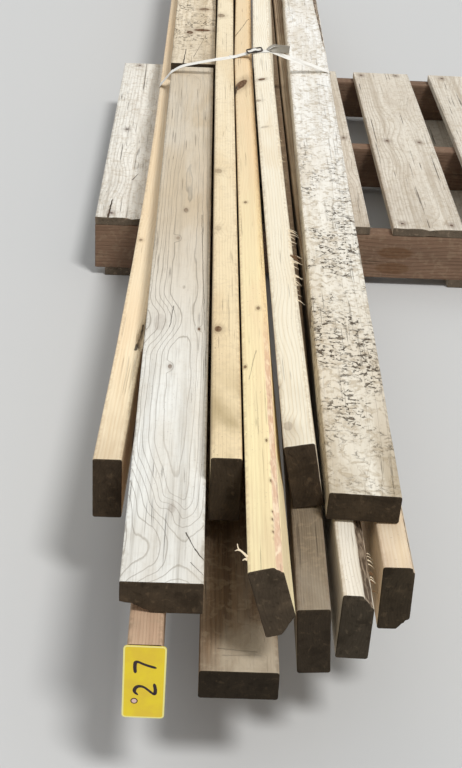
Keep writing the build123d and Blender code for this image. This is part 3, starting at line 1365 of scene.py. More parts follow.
    @staticmethod
    def sideways(path: Sequence[Vector], closed: bool = False) -> list[Vector]:
        """Directions across a band that keep close to the studs' own direction.

        Args:
            path: Middle line of the band.
            closed: Whether it is a loop.

        Returns:
            The direction at each point.
        """
        studs = Vector((0, 1, 0))
        aheads = [heading(path, number, closed) for number in range(len(path))]
        return [(studs - ahead * studs.dot(ahead)).normalized() for ahead in aheads]

    def twist_span(self, path: Sequence[Vector], ways: list[Vector], start: Vector,
                   end: Vector) -> None:
        """Turn the free span right of the buckle a little about its own length.

        Args:
            path: Middle line of the strap.
            ways: Its sideways directions, changed in place.
            start: Where the span starts.
            end: Where it ends.
        """
        span = end - start
        for number, point in enumerate(path):
            share = (point - start).dot(span) / span.length_squared
            if 0 < share < 1 and (start.lerp(end, share) - point).length < 0.002:
                turn = self.span_twist * math.sin(math.pi * share)
                ways[number] = Matrix.Rotation(turn, 3, span) @ ways[number]

    def lay_doubled(self, bm: bmesh.types.BMesh, ribbon: Ribbon,
                    corners: Sequence[Vector]) -> None:
        """Second layer of the strap from the twisted stud to past the buckle.

        Args:
            bm: Mesh in the making.
            ribbon: The band.
            corners: Where the strap meets the twisted stud, and where it meets and leaves the
                leaning stud.
        """
        rise = Vector((0, 0, ribbon.thickness + self.lift))
        start = corners[0] + Vector(self.doubled_start)
        path = subdivide([place + rise for place in (start, *corners)], 0.008)
        ribbon.lay(bm, path, self.sideways(path), start=self.doubled_at)

    def lay_tails(self, bm: bmesh.types.BMesh, ribbon: Ribbon, root: Vector) -> None:
        """The two loose ends that stand off beyond the buckle; the lower one turns on edge.

        Args:
            bm: Mesh in the making.
            ribbon: The band.
            root: Where the strap leaves the leaning stud.
        """
        base = root + Vector(self.tails_start)
        upper, lower = (
            subdivide(smooth_path([base + Vector(step) for step in steps], [radius] * 5), 0.003)
            for steps, radius in ((self.upper_tail, 0.004), (self.lower_tail, 0.005)))
        tilt = Matrix.Rotation(self.upper_tail_tilt, 3, "X")
        ribbon.lay(bm, upper, [tilt @ way for way in self.sideways(upper)],
                   start=self.upper_tail_at)
        ways = []
        for number, way in enumerate(self.sideways(lower)):
            share = min(1.0, self.lower_tail_pace * number / (len(lower) - 1))
            turn = self.lower_tail_turn * share
            ways.append(Matrix.Rotation(turn, 3, heading(lower, number)) @ way)
        ribbon.lay(bm, lower, ways, start=self.lower_tail_at)


@dataclass
class Buckle:
    """Bent wire frame that grips the strap, with the strap's folds over its bars."""

    wire: float = 0.0032
    length: float = 0.036
    width: float = 0.029
    corner: float = 0.006
    slant: float = math.radians(6)
    lean: float = math.radians(10)
    forward: float = -0.012
    bar_gap: float = 0.0012
    fold_width: float = 0.0165
    fold_at: float = 2.0

    def build(self, frame: dict) -> list[bpy.types.Object]:
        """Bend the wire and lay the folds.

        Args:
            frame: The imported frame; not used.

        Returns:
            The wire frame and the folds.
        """
        low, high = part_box("strap_buckle")
        centre = (low + high) / 2 + Vector((0, self.forward, 0))
        turn = Matrix.Rotation(self.slant, 3, "Z") @ Matrix.Rotation(-self.lean, 3, "Y")
        along, aside = (self.length - self.wire) / 2, (self.width - self.wire) / 2
        bar = (self.wire + self.bar_gap) / 2
        bm = bmesh.new()
        corners = [centre + turn @ Vector((x, y, 0)) for x, y in (
            (-along, -aside), (along, -aside), (along, aside), (-along, aside))]
        loop = smooth_path(corners, [self.corner] * 4, 6, True)
        radius = self.wire * 0.48
        sweep(bm, loop, [radius] * len(loop), 12, closed=True)
        for x in (-bar, bar):
            ends = [centre + turn @ Vector((x, y, 0)) for y in (-aside, aside)]
            sweep(bm, ends, [radius] * 2, 12)
        wires = add_piece("buckle_wire_frame", bm, [self.material()],
                          ("strap_buckle",), 60)
        return [wires, self.lay_folds(centre, turn, bar)]

    def lay_folds(self, centre: Vector, turn: Matrix, bar: float) -> bpy.types.Object:
        """Strap loops over the middle bars.

        Args:
            centre: Middle of the buckle.
            turn: Turn of the buckle.
            bar: Distance of each middle bar from the middle.

        Returns:
            The folds.
        """
        over = self.wire / 2 + 0.0002
        profile = [(-0.0165, -0.0016), (-0.010, -0.0010), (-bar - 0.0015, over - 0.0002),
                   (-bar, over), (0.0, over + 0.0002), (bar, over), (bar + 0.0015, over - 0.0002),
                   (0.009, -0.0010), (0.0155, -0.0016)]
        path = smooth_path([centre + turn @ Vector((x, 0, z)) for x, z in profile],
                           [0.002] * len(profile), 3)
        bm = bmesh.new()
        Ribbon(self.fold_width).lay(bm, path, [turn @ Vector((0, 1, 0))] * len(path),
                                    start=self.fold_at)
        return add_piece("strap_fold", bm, [bpy.data.materials["woven_strap"]],
                         sharp=60)

    def material(self) -> bpy.types.Material:
        """Dull blackened wire.

        Returns:
            Its material.
        """
        r = Recipe("buckle_wire_steel")
        worn = r.noise(r.object_place(), 260, 3.0)
        colour = r.mix(worn.band(0.50, 0.75), linear(44, 37, 32), linear(92, 74, 60))
        return r.finish(colour, worn * 0.25 + 0.40, worn, 0.0002, specular=0.4)


@dataclass
class Tag:
    """Yellow plastic tag with a hand-written number, held by a round tack.

    Each stroke is one digit, in shares of its width and height. The gaps are how far the plate's
    faces and the ink lie behind the front and the back of the construction tag.
    """

    strokes: tuple[tuple[tuple[float, float], ...], ...] = (
        ((0.05, 0.78), (0.30, 0.98), (0.68, 0.86), (0.70, 0.58), (0.38, 0.30), (0.08, 0.06),
         (0.45, 0.02), (0.92, 0.10)),
        ((0.05, 0.92), (0.45, 0.96), (0.95, 0.94), (0.66, 0.52), (0.46, 0.02)),
    )
    digit_tall: float = 0.025
    digit_wide: float = 0.019
    digit_pitch: float = 0.030
    digits_aside: float = 0.001
    digits_rise: float = 0.006
    digit_bend: float = 0.006
    tilt: float = math.radians(0.8)
    width: float = 0.0465
    height: float = 0.099
    corner: float = 0.005
    rim: float = 0.0018
    bevel: float = 0.0003
    front_gap: float = 0.00018
    bevel_gap: float = 0.0002
    back_gap: float = 0.0001
    ink_gap: float = 0.0001
    ink_width: tuple[float, float] = (0.0026, 0.0042)
    ink_slant: Triple = (0.6, 0, 0.8)
    ink_step: float = 0.0012
    ink_ends: tuple[float, float] = (0.45, 0.25)
    tack_aside: float = -0.010
    tack_rise: float = 0.0235

    def build(self, frame: dict) -> list[bpy.types.Object]:
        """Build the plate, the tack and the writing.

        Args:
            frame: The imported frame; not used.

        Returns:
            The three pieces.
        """
        low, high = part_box("tag")
        middle = Vector(((low.x + high.x) / 2, low.y, (low.z + high.z) / 2))
        turn = Matrix.Rotation(self.tilt, 3, "Y")
        pieces = []
        for name, (bm, materials) in {
            "tag_plate": self.plate(high.y - low.y), "tag_tack": self.tack(),
            "tag_number": self.writing(),
        }.items():
            for vertex in bm.verts:
                vertex.co = middle + turn @ vertex.co
            nodes = ("tag",) if name == "tag_plate" else ()
            pieces.append(add_piece(name, bm, materials, nodes))
        return pieces

    def plate(self, thickness: float) -> tuple[bmesh.types.BMesh, list[bpy.types.Material]]:
        """A rounded plate with a pale rim.

        Args:
            thickness: Room for it, front to back.

        Returns:
            Its mesh, with its front's middle at the origin, and its materials.
        """
        bm = bmesh.new()
        corners = [Vector((x * self.width / 2, 0, z * self.height / 2))
                   for x, z in ((-1, -1), (1, -1), (1, 1), (-1, 1))]
        outline = smooth_path(corners, [self.corner] * 4, 6, closed=True)
        front = Vector((0, self.front_gap, 0))
        face = bm.faces.new([bm.verts.new(point + front) for point in outline])
        bmesh.ops.inset_individual(bm, faces=[face], thickness=self.bevel)
        for vertex in bm.verts:
            if vertex not in face.verts:
                vertex.co.y += self.bevel_gap
        for part in bmesh.ops.inset_individual(bm, faces=[face], thickness=self.rim)["faces"]:
            part.material_index = 1
        edges = [edge for edge in bm.edges if edge.is_boundary]
        for item in bmesh.ops.extrude_edge_only(bm, edges=edges)["geom"]:
            if isinstance(item, bmesh.types.BMVert):
                item.co.y = thickness - self.back_gap
        bmesh.ops.holes_fill(bm, edges=[edge for edge in bm.edges if edge.is_boundary], sides=0)
        r = Recipe("tag_plastic")
        cloud = r.noise(r.object_place(), 40, 3.0).band(0.35, 0.70)
        colour = r.mix(cloud, linear(246, 218, 40), linear(238, 204, 50))
        return bm, [r.finish(colour, 0.45), Recipe("tag_rim").finish(linear(250, 240, 150), 0.5)]

    def tack(self) -> tuple[bmesh.types.BMesh, list[bpy.types.Material]]:
        """A flat round tack with a dark ring round it.

        Returns:
            Its mesh and its materials.
        """
        centre = Vector((self.tack_aside, 0, self.tack_rise - self.height / 2))
        bm = bmesh.new()
        for radius, near, index in ((0.0040, 0.00012, 1), (0.0028, 0.00005, 0)):
            bmesh.ops.create_circle(bm, cap_ends=True, radius=radius, segments=24,
                                    matrix=Matrix.Translation((0, 0, near)))
            bm.faces.ensure_lookup_table()
            bm.faces[-1].material_index = index
        for vertex in bm.verts:
            vertex.co = vertex.co.xzy + centre
        return bm, [Recipe("tack_head").finish(linear(232, 196, 186), 0.5),
                    Recipe("tack_ring").finish(linear(70, 34, 34), 0.7)]

    def writing(self) -> tuple[bmesh.types.BMesh, list[bpy.types.Material]]:
        """The number in broad marker, reading up the tag.

        Returns:
            Its mesh and its material.
        """
        bm = bmesh.new()
        for number, stroke in enumerate(self.strokes):
            rise = self.digits_rise + (number - 0.5) * self.digit_pitch
            points = [Vector((self.digits_aside - (y - 0.5) * self.digit_tall, 0,
                              rise + (x - 0.5) * self.digit_wide)) for x, y in stroke]
            path = smooth_path(points, [self.digit_bend] * len(points), 6)
            self.draw(bm, subdivide(path, self.ink_step))
        return bm, [Recipe("marker_ink").finish(linear(44, 24, 34), 0.55)]

    def draw(self, bm: bmesh.types.BMesh, path: Sequence[Vector]) -> None:
        """Lay one marker stroke as a flat strip that is broader on the slant.

        Args:
            bm: Mesh in the making.
            path: Middle line of the stroke.
        """
        rows = []
        thin, broad = self.ink_width
        tip, growth = self.ink_ends
        slant = Vector(self.ink_slant)
        last = len(path) - 1
        for number, point in enumerate(path):
            ahead = heading(path, number)
            side = Vector((-ahead.z, 0, ahead.x))
            slope = abs(ahead.dot(slant))
            fullness = min(1.0, tip + growth * min(number, last - number))
            half = (thin + (broad - thin) * slope) / 2 * fullness
            rows.append([bm.verts.new(point + side * half * turn + Vector((0, self.ink_gap, 0)))
                         for turn in (-1, 1)])
        for (a, b), (c, d) in zip(rows, rows[1:]):
            bm.faces.new((a, c, d, b))


def tapered(radius: float, loss: float, count: int) -> list[float]:
    """Radii that fall evenly along a thin fibre, by a share of the first one."""
    return [radius * (1 - loss * number / (count - 1)) for number in range(count)]


@dataclass(frozen=True)
class Fringe:
    """Splinters that stand off a stretch of a stick's upper right edge.

    The start and the end are measured from the stick's near end. The pairs are the bounds
    between which chance picks a share or a part of a direction.
    """

    ROOT = (-0.0035, 0, -0.0015)
    LENGTHS = (0.45, 1.0)
    THICKNESSES = (0.5, 1.0)
    OUTWARD = (0.6, 1.1)
    FORWARD = (0.4, 1.0)
    UPWARD = (0.0, 0.30)
    DROOP = (0.0, 0.4)
    DROOP_FORWARD = 0.3
    DROOP_SHARE = 0.6

    node: str
    start: float
    end: float
    count: int
    longest: float
    thickest: float
    seed: int

    def lay(self, frame: dict, bm: bmesh.types.BMesh) -> None:
        """Add the splinters to a mesh.

        Args:
            frame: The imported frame.
            bm: Mesh in the making.
        """
        rings = Rings(frame["nodes"][self.node])
        chance = random.Random(self.seed)
        for _ in range(self.count):
            y = rings.along[0] + chance.uniform(self.start, self.end)
            root = rings.corner(y, 1, 1) + Vector(self.ROOT)
            length = self.longest * chance.uniform(*self.LENGTHS)
            ahead = Vector((chance.uniform(*self.OUTWARD), -chance.uniform(*self.FORWARD),
                            chance.uniform(*self.UPWARD))).normalized()
            droop = Vector((0, -self.DROOP_FORWARD, -chance.uniform(*self.DROOP))) * length
            points = [root, root + ahead * length * 0.5,
                      root + ahead * length + droop * self.DROOP_SHARE]
            path = smooth_path(points, [length * 0.3] * 3, 4)
            radius = self.thickest * chance.uniform(*self.THICKNESSES)
            sweep(bm, path, tapered(radius, 0.85, len(path)), 6, flatten=0.6)


@dataclass(frozen=True)
class Splinters:
    """Splinters, curled fibres and a loose strip of bark."""

    pale: tuple[Fringe, ...] = (
        Fringe("upper_stud_inner_right", 0.40, 0.50, 11, 0.019, 0.0014, 3),
        Fringe("upper_stud_inner_right", 0.52, 0.70, 12, 0.022, 0.0015, 6),
        Fringe("upper_stud_inner_right", 0.92, 1.20, 7, 0.014, 0.0010, 4),
        Fringe("lower_stud_waney", 0.02, 0.12, 6, 0.010, 0.0009, 5),
    )
    dark: tuple[Fringe, ...] = (
        Fringe("upper_stud_inner_right", 0.555, 0.585, 5, 0.026, 0.0020, 8),
        Fringe("lower_stud_waney", 0.01, 0.06, 4, 0.009, 0.0014, 9),
    )
    curls: tuple[tuple[tuple[Triple, ...], float], ...] = (
        (((0.004, 0.030, -0.004), (-0.001, 0.031, 0.001), (-0.0055, 0.034, 0.004),
          (-0.0095, 0.036, 0.0055), (-0.0105, 0.040, 0.0095)), 0.0016),
        (((0.004, 0.028, -0.004), (-0.002, 0.027, -0.0005), (-0.0045, 0.027, -0.0030)), 0.0018),
        (((-0.0070, 0.035, 0.0046), (-0.0100, 0.035, 0.0052), (-0.0130, 0.0345, 0.0040)), 0.0011),
    )

    def build(self, frame: dict) -> list[bpy.types.Object]:
        """Lay them all.

        Args:
            frame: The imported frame.

        Returns:
            The fibres and the bark.
        """
        pale, dark = bmesh.new(), bmesh.new()
        for bm, fringes in ((pale, self.pale), (dark, self.dark)):
            for fringe in fringes:
                fringe.lay(frame, bm)
        rings = Rings(frame["nodes"]["upper_stud_twisted"])
        for curl, thickness in self.curls:
            first = curl[0][1]
            root = rings.corner(rings.along[0] + first, -1, 1)
            points = [root + Vector((x, y - first, z)) for x, y, z in curl]
            path = smooth_path(points, [0.004] * len(points), 4)
            sweep(pale, path, tapered(thickness, 0.7, len(path)), 6, flatten=0.5)
        fibre = Recipe("loose_fibre").finish(linear(240, 222, 192), 0.85, specular=0.2)
        bark = Recipe("loose_bark").finish(linear(112, 84, 58), 0.9, specular=0.2)
        return [add_piece("loose_fibres", pale, [fibre], sharp=70),
                add_piece("loose_bark", dark, [bark], sharp=70)]


@dataclass(frozen=True)
class Lamp:
    """A soft lamp far away; its angles are in degrees."""

    name: str
    energy: float
    spread: float
    elevation: float
    azimuth: float

    def hang(self) -> None:
        """Hang it so that it shines on the object."""
        light = bpy.data.lights.new(self.name, "SUN")
        light.energy = self.energy
        light.angle = math.radians(self.spread)
        lamp = bpy.data.objects.new(self.name, light)
        lamp.rotation_euler = math.radians(90 - self.elevation), 0, math.radians(self.azimuth)
        bpy.context.scene.collection.objects.link(lamp)


@dataclass
class Studio:
    """Pale floor, soft lamps and the camera at the photograph's angle."""

    focal_pixels: float = 1501.0
    frame_height: int = 768
    yaw: float = math.radians(-1.65)
    pitch: float = math.radians(61.49)
    roll: float = math.radians(2.82)
    camera_x: float = -0.411
    camera_height: float = 1.222
    camera_before_pallet: float = 3.1845
    floor_size: float = 60.0
    floor_colour: Colour = (0.60, 0.60, 0.59)
    sky_colour: Colour = (0.96, 0.98, 1.0)
    sky_level: float = 0.50
    lamps: tuple[Lamp, ...] = (Lamp("key_light", 1.95, 14, 60, 38),
                               Lamp("back_light", 0.35, 40, 40, 200))

    def build(self, pallet_middle: float) -> None:
        """Set up the floor, the light and the camera.

        Args:
            pallet_middle: Place of the pallet's middle along the studs.
        """
        self.lay_floor()
        self.light_sky()
        for lamp in self.lamps:
            lamp.hang()
        self.set_camera(pallet_middle)

    def lay_floor(self) -> None:
        """A plain pale floor under the pallet."""
        bm = bmesh.new()
        bmesh.ops.create_grid(bm, x_segments=1, y_segments=1, size=self.floor_size)
        mesh = bpy.data.meshes.new("studio_floor")
        bm.to_mesh(mesh)
        bm.free()
        mesh.materials.append(Recipe("studio_floor").finish(self.floor_colour, 0.9, specular=0.2))
        floor = bpy.data.objects.new("studio_floor", mesh)
        bpy.context.scene.collection.objects.link(floor)

    def light_sky(self) -> None:
        """A plain pale sky all round."""
        world = bpy.data.worlds.new("studio_sky")
        world.use_nodes = True
        background = world.node_tree.nodes["Background"]
        background.inputs["Color"].default_value = (*self.sky_colour, 1.0)
        background.inputs["Strength"].default_value = self.sky_level
        bpy.context.scene.world = world

    def set_camera(self, pallet_middle: float) -> None:
        """Place the camera.

        Args:
            pallet_middle: Place of the pallet's middle along the studs.
        """
        data = bpy.data.cameras.new("camera")
        data.lens = data.sensor_width * self.focal_pixels / self.frame_height
        camera = bpy.data.objects.new("camera", data)
        place = Vector((self.camera_x, pallet_middle - self.camera_before_pallet,
                        self.camera_height))
        camera.matrix_world = (
            Matrix.Translation(place) @ Matrix.Rotation(self.yaw, 4, "Z")
            @ Matrix.Rotation(self.pitch, 4, "X") @ Matrix.Rotation(self.roll, 4, "Z"))
        bpy.context.scene.collection.objects.link(camera)
        bpy.context.scene.camera = camera


YELLOW = PineFinish(
    "yellow_pine", pale=linear(255, 238, 204), ring=linear(228, 196, 150),
    stain=linear(246, 216, 176), far_tone_and_trough_shade=linear(234, 214, 184), stain_share=0.45,
    ring_depth=0.35, pith=(0.075, -0.01), ring_gap=0.004, checks=0.06,
    edge_colour=linear(190, 160, 122),
)
PINK = PineFinish(
    "pink_pine", pale=linear(208, 176, 146), ring=linear(164, 124, 98),
    stain=linear(168, 132, 106), pith=(-0.07, 0.01), ring_gap=0.0033, stain_share=0.7,
    ring_depth=0.35, mottle=0.2,
)
BROWN = PineFinish(
    "brown_pine", pale=linear(140, 116, 90), ring=linear(80, 59, 41), top=0.019,
    stain=linear(112, 92, 72), end=linear(46, 38, 28), stain_share=0.6, pith=(0.02, 0.075),
    ring_gap=0.0032, wander=0.016, ring_depth=0.7, near_grime=1.0, grime=linear(186, 172, 150),
    relief=0.0012, checks=0.7, mottle=0.35, streak_depth=0.5, fibre_depth=0.5,
    knots=(Knot(0.015, 0.060, 0.007, 0.012, 0.75),),
    cracks=(Crack((-0.022, 0.041), (0.022, 0.036), 0.0010, 0.6),
            Crack((-0.016, 0.029), (0.026, 0.031), 0.0008, 0.5)),
)
# The far part of this stud is a darker brown: partly its own colour, partly painted shade of the
# trough between the upper sticks.
GREY_BROWN = PineFinish(
    "grey_brown_pine", pale=linear(140, 125, 104), ring=linear(100, 85, 66),
    stain=linear(122, 106, 86), far_tone_and_trough_shade=linear(116, 94, 72), far_reach=(0.30, 0.90),
    stain_share=0.6, pith=(0.06, 0.02), ring_gap=0.003, end=linear(58, 49, 38), checks=0.5,
    mottle=0.3, near_grime=0.8, grime=linear(160, 148, 130), fibre_depth=0.45,
)
CREAM = PineFinish(
    "cream_pine", pale=linear(252, 242, 218), ring=linear(230, 208, 170),
    stain=linear(238, 218, 184), far_tone_and_trough_shade=linear(252, 242, 216), pith=(-0.072, 0.005),
    ring_gap=0.0042, ring_depth=0.38, stain_share=0.45, specks=0.45, checks=0.12,
    edge_colour=linear(186, 162, 128),
)
SILVER = PineFinish(
    "silver_pine", pale=linear(242, 241, 234), ring=linear(138, 129, 114), top=0.0205,
    stain=linear(222, 214, 199), far_tone_and_trough_shade=linear(206, 188, 160), far_reach=(0.30, 1.20),
    stain_share=0.5, pith=(0.004, -0.028), ring_gap=0.0039, ring_start=0.82, ring_depth=0.58,
    wander=0.024, specks=0.3, relief=0.0009, checks=0.3, edge_colour=linear(150, 138, 120),
    near_grime=0.15, mottle=0.08,
    knots=(
        Knot(0.0069, 0.148, 0.0045, 0.011, 0.30), Knot(0.0072, 0.060, 0.016, 0.034, 0.0),
        Knot(-0.032, 0.105, 0.016, 0.060, 0.0), Knot(-0.0250, 0.639, 0.010, 0.030, 0.22),
        Knot(-0.0065, 0.503, 0.0030, 0.007, 0.7), Knot(0.0318, 0.621, 0.0022, 0.005, 0.8),
        Knot(0.0031, 1.076, 0.0035, 0.009, 0.6), Knot(-0.0073, 0.953, 0.0030, 0.007, 0.5),
    ),
    cracks=(Crack((0.0265, 0.098), (0.0375, 0.066), 0.0011, 0.85),
            Crack((0.0375, 0.066), (0.0470, 0.046), 0.0013, 0.9),
            Crack((0.0330, 0.040), (0.0470, 0.017), 0.0009, 0.5),
            Crack((-0.0050, 0.695), (-0.0085, 0.625), 0.0012, 0.6),
            Crack((0.0325, 1.057), (0.0420, 0.618), 0.0009, 0.45)),
)
ROUGH = PineFinish(
    "rough_pine", pale=linear(242, 228, 203), ring=linear(190, 168, 134), top=0.0205,
    stain=linear(206, 188, 158), stain_share=0.6, pith=(0.01, -0.06), ring_gap=0.005,
    wander=0.02, specks=0.7, mottle=0.5, torn_marks=0.6, torn_reach=(9.0, 8.0), relief=0.001,
    near_grime=0.3, edge_colour=linear(150, 130, 104),
    knots=(Knot(-0.0115, 0.255, 0.008, 0.013, 1.0), Knot(0.017, 0.277, 0.021, 0.011, 1.0),
           Knot(0.020, 0.470, 0.014, 0.013, 0.8)),
    cracks=(Crack((-0.020, -0.01), (-0.016, 0.110), 0.0022, 0.9),
            Crack((0.002, 0.050), (0.028, 0.230), 0.0010, 0.5)),
)
WHITE_GREY = PineFinish(
    "white_grey_pine", pale=linear(239, 232, 216), ring=linear(208, 195, 172), top=0.019,
    stain=linear(216, 202, 180), far_tone_and_trough_shade=linear(250, 248, 242), stain_share=0.5,
    pith=(-0.01, -0.07), ring_gap=0.005, wander=0.02, ring_depth=0.22, specks=0.5, mottle=0.55,
    torn_marks=0.70, relief=0.0016, checks=0.1, near_grime=0.7, grime=linear(172, 154, 124),
    edge_colour=linear(150, 134, 110), end=linear(62, 52, 40),
    cracks=(Crack((0.016, 1.646), (0.041, 1.629), 0.0022, 0.6),),
)
STRINGER_WOOD = PineFinish(
    "stringer_wood", pale=linear(132, 105, 85), ring=linear(90, 66, 50),
    stain=linear(104, 82, 66), stain_share=0.6, pith=(0.02, -0.13), ring_gap=0.007,
    wander=0.03, ring_depth=0.4, specks=0.35, near_grime=0.0, relief=0.001, checks=0.6,
    end=linear(112, 90, 72), far_end=linear(112, 90, 72), edge_colour=linear(104, 84, 68),
    side_knots=0.8, mottle=0.15,
)
DECK_WOOD = PineFinish(
    "deck_wood", pale=linear(244, 241, 232), ring=linear(182, 173, 158), top=0.008,
    stain=linear(224, 218, 206), stain_share=0.6, pith=(0.01, -0.06), ring_gap=0.0042,
    ring_start=0.55, ring_depth=0.40, wander=0.012, specks=0.8, mottle=0.35,
    streak_depth=0.5, fibre_depth=0.5, near_grime=0.25, relief=0.0012, checks=0.7,
    end=linear(104, 92, 78), far_end=linear(104, 92, 78), edge_colour=linear(134, 122, 106),
    side_knots=0.0, roughness=0.88,
)


def stick_table() -> tuple[Timber, ...]:
    """List the fourteen sticks that the strap holds.

    Returns:
        The sticks, the lower layer first.
    """
    fine = {"side_points": 0.003, "ring_spacing": 0.009}
    hidden = {"side_points": 0.008, "ring_spacing": 0.04}
    left = replace(
        YELLOW, name="left_pine", knots=(Knot(-0.011, 0.717, 0.003, 0.006, 0.7),),
        # Dark stripe along the chipped notch: partly the broken wood's colour, partly painted
        # shade in the notch.
        cracks=(Crack((0.0125, 0.310), (0.0180, 0.396), 0.0034, 0.9),),
    )
    inner_left = replace(
        CREAM, name="inner_left_pine", pale=linear(242, 221, 180), far_tone_and_trough_shade=linear(248, 234, 204),
        stain=linear(224, 198, 156), stain_share=0.6, specks=0.9, near_grime=1.0,
        grime=linear(162, 142, 100), mottle=0.15, knots=(
            Knot(-0.0120, 0.972, 0.007, 0.012, 0.5), Knot(-0.0121, 0.712, 0.006, 0.011, 0.35),
            Knot(-0.0110, 0.347, 0.0055, 0.010, 0.95), Knot(-0.0100, 2.018, 0.010, 0.016, 0.7)),
    )
    twisted = replace(
        YELLOW, name="twisted_pine", pale=linear(255, 238, 188), far_tone_and_trough_shade=linear(234, 212, 174),
        ring_depth=0.16, bark=linear(226, 190, 158), bark_light=linear(250, 226, 194),
        bark_reach=(0.72, 0.40), specks=0.4, near_grime=0.15, end=linear(74, 63, 50), knots=(
            Knot(-0.0090, 1.712, 0.010, 0.042, 1.0, skew=-0.28),
            Knot(-0.0070, 1.059, 0.003, 0.005, 0.8), Knot(-0.0150, 0.466, 0.0022, 0.005, 0.9),
            Knot(0.0060, 0.644, 0.0028, 0.006, 0.8), Knot(0.0085, 0.268, 0.0014, 0.004, 0.9),
            Knot(0.0130, 0.216, 0.0015, 0.003, 1.0), Knot(0.0135, 0.198, 0.0016, 0.003, 1.0),
            Knot(0.0120, 0.177, 0.0019, 0.004, 1.0), Knot(0.0118, 0.111, 0.0014, 0.003, 0.9),
            Knot(0.0118, 0.095, 0.0020, 0.003, 1.0), Knot(0.0137, 0.081, 0.0024, 0.003, 1.0),
            Knot(0.0115, 0.070, 0.0016, 0.003, 0.9), Knot(0.0140, 0.057, 0.0022, 0.003, 1.0)),
        cracks=(Crack((-0.0190, 1.655), (-0.0140, 1.702), 0.0050, 1.0),
                Crack((-0.017, 2.080), (0.002, 2.170), 0.0013, 0.8),
                Crack((0.002, 2.170), (0.016, 2.250), 0.0011, 0.7),
                Crack((0.0020, 0.510), (-0.0085, 0.430), 0.0011, 0.35)),
    )
    leaning = replace(
        CREAM, name="leaning_pine", pale=linear(248, 238, 214), far_tone_and_trough_shade=linear(252, 244, 224),
        specks=0.25, end=linear(66, 55, 43), knots=(
            Knot(-0.004, 1.466, 0.008, 0.008, 1.0), Knot(-0.016, 1.330, 0.008, 0.007, 0.6),
            Knot(-0.006, 1.168, 0.008, 0.005, 0.4), Knot(-0.0200, 0.152, 0.003, 0.006, 0.7),
            Knot(-0.0110, 0.050, 0.006, 0.012, 0.4)),
    )
    # Far along, this stud's top turns dark brown: partly its own colour, partly painted shade of
    # the trough it lies in.
    waney = replace(
        CREAM, name="waney_pine", pale=linear(240, 232, 216), far_tone_and_trough_shade=linear(132, 108, 84),
        far_reach=(0.30, 0.80), checks=0.6, bark=linear(92, 76, 60),
        bark_light=linear(168, 150, 128), bark_reach=(0.55, 0.30), near_grime=0.1,
        end=linear(66, 58, 47), ring=linear(206, 192, 168), ring_depth=0.5,
    )
    right = replace(
        YELLOW, name="right_pine", pale=linear(244, 224, 194), far_tone_and_trough_shade=None,
        stain=linear(226, 196, 172), stain_share=0.7, end=linear(60, 51, 39), ring_depth=0.3,
    )
    return (
        Timber("lower_stud_left", Finish.YELLOW, left, seed=1,
               dents=(Dent(0.0190, 0.352, 0.0445, 0.010, 0.048, 0.012),)),
        Timber("lower_stud_tagged", Finish.PINK, PINK, seed=2),
        Timber("lower_stud_hidden", Finish.BROWN, BROWN, seed=3, **hidden),
        Timber("lower_stud_flat", Finish.BROWN, BROWN, seed=4),
        Timber("lower_stud_flat_hidden", Finish.BROWN, BROWN, seed=5, **hidden),
        Timber("lower_stud_inner_right", Finish.GREY_BROWN, GREY_BROWN, seed=6),
        Timber("lower_stud_waney", Finish.CREAM, waney, seed=7, side_points=0.003,
               ring_spacing=0.010),
        Timber("lower_stud_right", Finish.YELLOW, right, seed=8),
        Timber("upper_board_left_near", Finish.SILVER, SILVER, seed=9, arris=0.0018, **fine,
               dents=(Dent(-0.046, 1.916, 0.0, 0.030, 0.036, 0.020),)),
        Timber("upper_board_left_far", Finish.ROUGH, ROUGH, seed=10, arris=0.002,
               roughness=0.0008, **fine),
        Timber("upper_stud_inner_left", Finish.CREAM, inner_left, seed=11, ring_spacing=0.010),
        Timber("upper_stud_twisted", Finish.YELLOW, twisted, seed=12, arris=0.0025,
               side_points=0.003, ring_spacing=0.010),
        Timber("upper_stud_inner_right", Finish.CREAM, leaning, seed=13, ring_spacing=0.010,
               roughness=0.0006),
        Timber("upper_board_right", Finish.WHITE_GREY, WHITE_GREY, seed=14, roughness=0.0011,
               wanes=(Wane(1, 1, 1.72, 2.4, 0.015, 0.012),), **fine),
    )


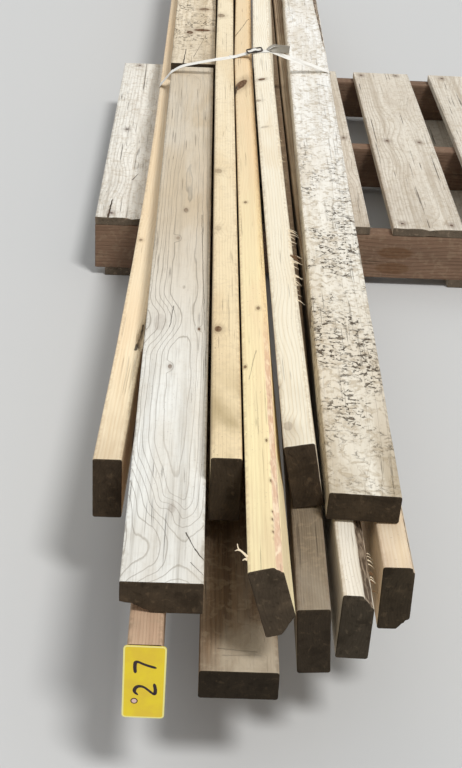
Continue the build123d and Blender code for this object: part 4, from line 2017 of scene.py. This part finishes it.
def pallet_table() -> tuple[Timber, ...]:
    """List the stringers and boards of the pallet.

    Returns:
        The stringers, the deck boards and the bottom boards.
    """
    chance = random.Random(5)
    nail_aside, nail_row, nail_middle = 0.042, 0.489, 0.508
    yellow_deck = replace(
        DECK_WOOD, name="yellow_deck_wood", pale=linear(228, 220, 205),
        ring=linear(176, 161, 140), stain=linear(204, 192, 174),
    )
    split_deck = replace(
        DECK_WOOD, name="split_deck_wood",
        cracks=(Crack((-0.043, -0.01), (-0.040, 0.092), 0.0030, 1.0),
                Crack((-0.006, 0.205), (0.004, 0.240), 0.0020, 0.7)),
    )
    front_bites = (Dent(-0.050, 0.000, 0.009, 0.016, 0.010, 0.005),
                   Dent(0.012, 0.000, 0.009, 0.026, 0.008, 0.004))
    parts = [Timber(f"pallet_stringer_{place}", Finish.STRINGER, STRINGER_WOOD, Layout.ALONG_X,
                    seed=20 + number, arris=0.0015, side_points=0.006, ring_spacing=0.02)
             for number, place in enumerate(("near", "middle", "far"))]
    for number in range(1, 8):
        nails = tuple((side * nail_aside + chance.uniform(-0.012, 0.012),
                       nail_middle + row * nail_row + chance.uniform(-0.007, 0.007))
                      for row in (-1, 0, 1) for side in (-1, 1))
        finish = {1: split_deck, 6: DECK_WOOD}.get(number, yellow_deck)
        parts.append(Timber(f"pallet_deck_board_{number}", Finish.BOARD, finish,
                            seed=30 + number, arris=0.0015, side_points=0.005,
                            ring_spacing=0.012, nails=nails, roughness=0.0007,
                            dents=front_bites if number in (1, 4) else ()))
    parts += [Timber(f"pallet_bottom_board_{number}", Finish.BOARD, yellow_deck,
                     seed=40 + number, arris=0.0015, side_points=0.008, ring_spacing=0.02)
              for number in range(1, 5)]
    return tuple(parts)


@dataclass(frozen=True)
class Nails:
    """Flat nail heads in the deck boards."""

    boards: tuple[Timber, ...]
    radius: float = 0.0034
    top_radius: float = 0.0030
    thickness: float = 0.0012

    def build(self, frame: dict) -> list[bpy.types.Object]:
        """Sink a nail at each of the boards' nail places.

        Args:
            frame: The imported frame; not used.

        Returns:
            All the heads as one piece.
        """
        bm = bmesh.new()
        for board in self.boards:
            low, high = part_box(board.node)
            for across, along in board.nails:
                head = Vector(((low.x + high.x) / 2 + across, low.y + along,
                               high.z - self.thickness / 2))
                bmesh.ops.create_cone(bm, cap_ends=True, segments=14, radius1=self.radius,
                                      radius2=self.top_radius, depth=self.thickness,
                                      matrix=Matrix.Translation(head))
        r = Recipe("nail_steel")
        rust = r.noise(r.object_place(), 400, 3.0).band(0.40, 0.62)
        colour = r.mix(rust, linear(66, 52, 44), linear(112, 84, 64))
        return [add_piece("deck_nails", bm, [r.finish(colour, 0.7, metallic=0.4)])]


def main() -> None:
    """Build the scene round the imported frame."""
    logging.basicConfig(level=logging.INFO, format="%(message)s")
    bpy.context.scene.view_settings.view_transform = "Standard"
    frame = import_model()
    low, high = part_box("pallet_deck_board_1")

    Studio().build((low.y + high.y) / 2)
    pallet = pallet_table()
    assemblies: tuple[Assembly, ...] = (*stick_table(), *pallet, Nails(pallet), Strap(), Buckle(),
                                        Tag(), Splinters())
    for assembly in assemblies:
        for piece in assembly.build(frame):
            log.info("%s: %d faces", piece.name, len(piece.data.polygons))


if __name__ == "__main__":
    main()
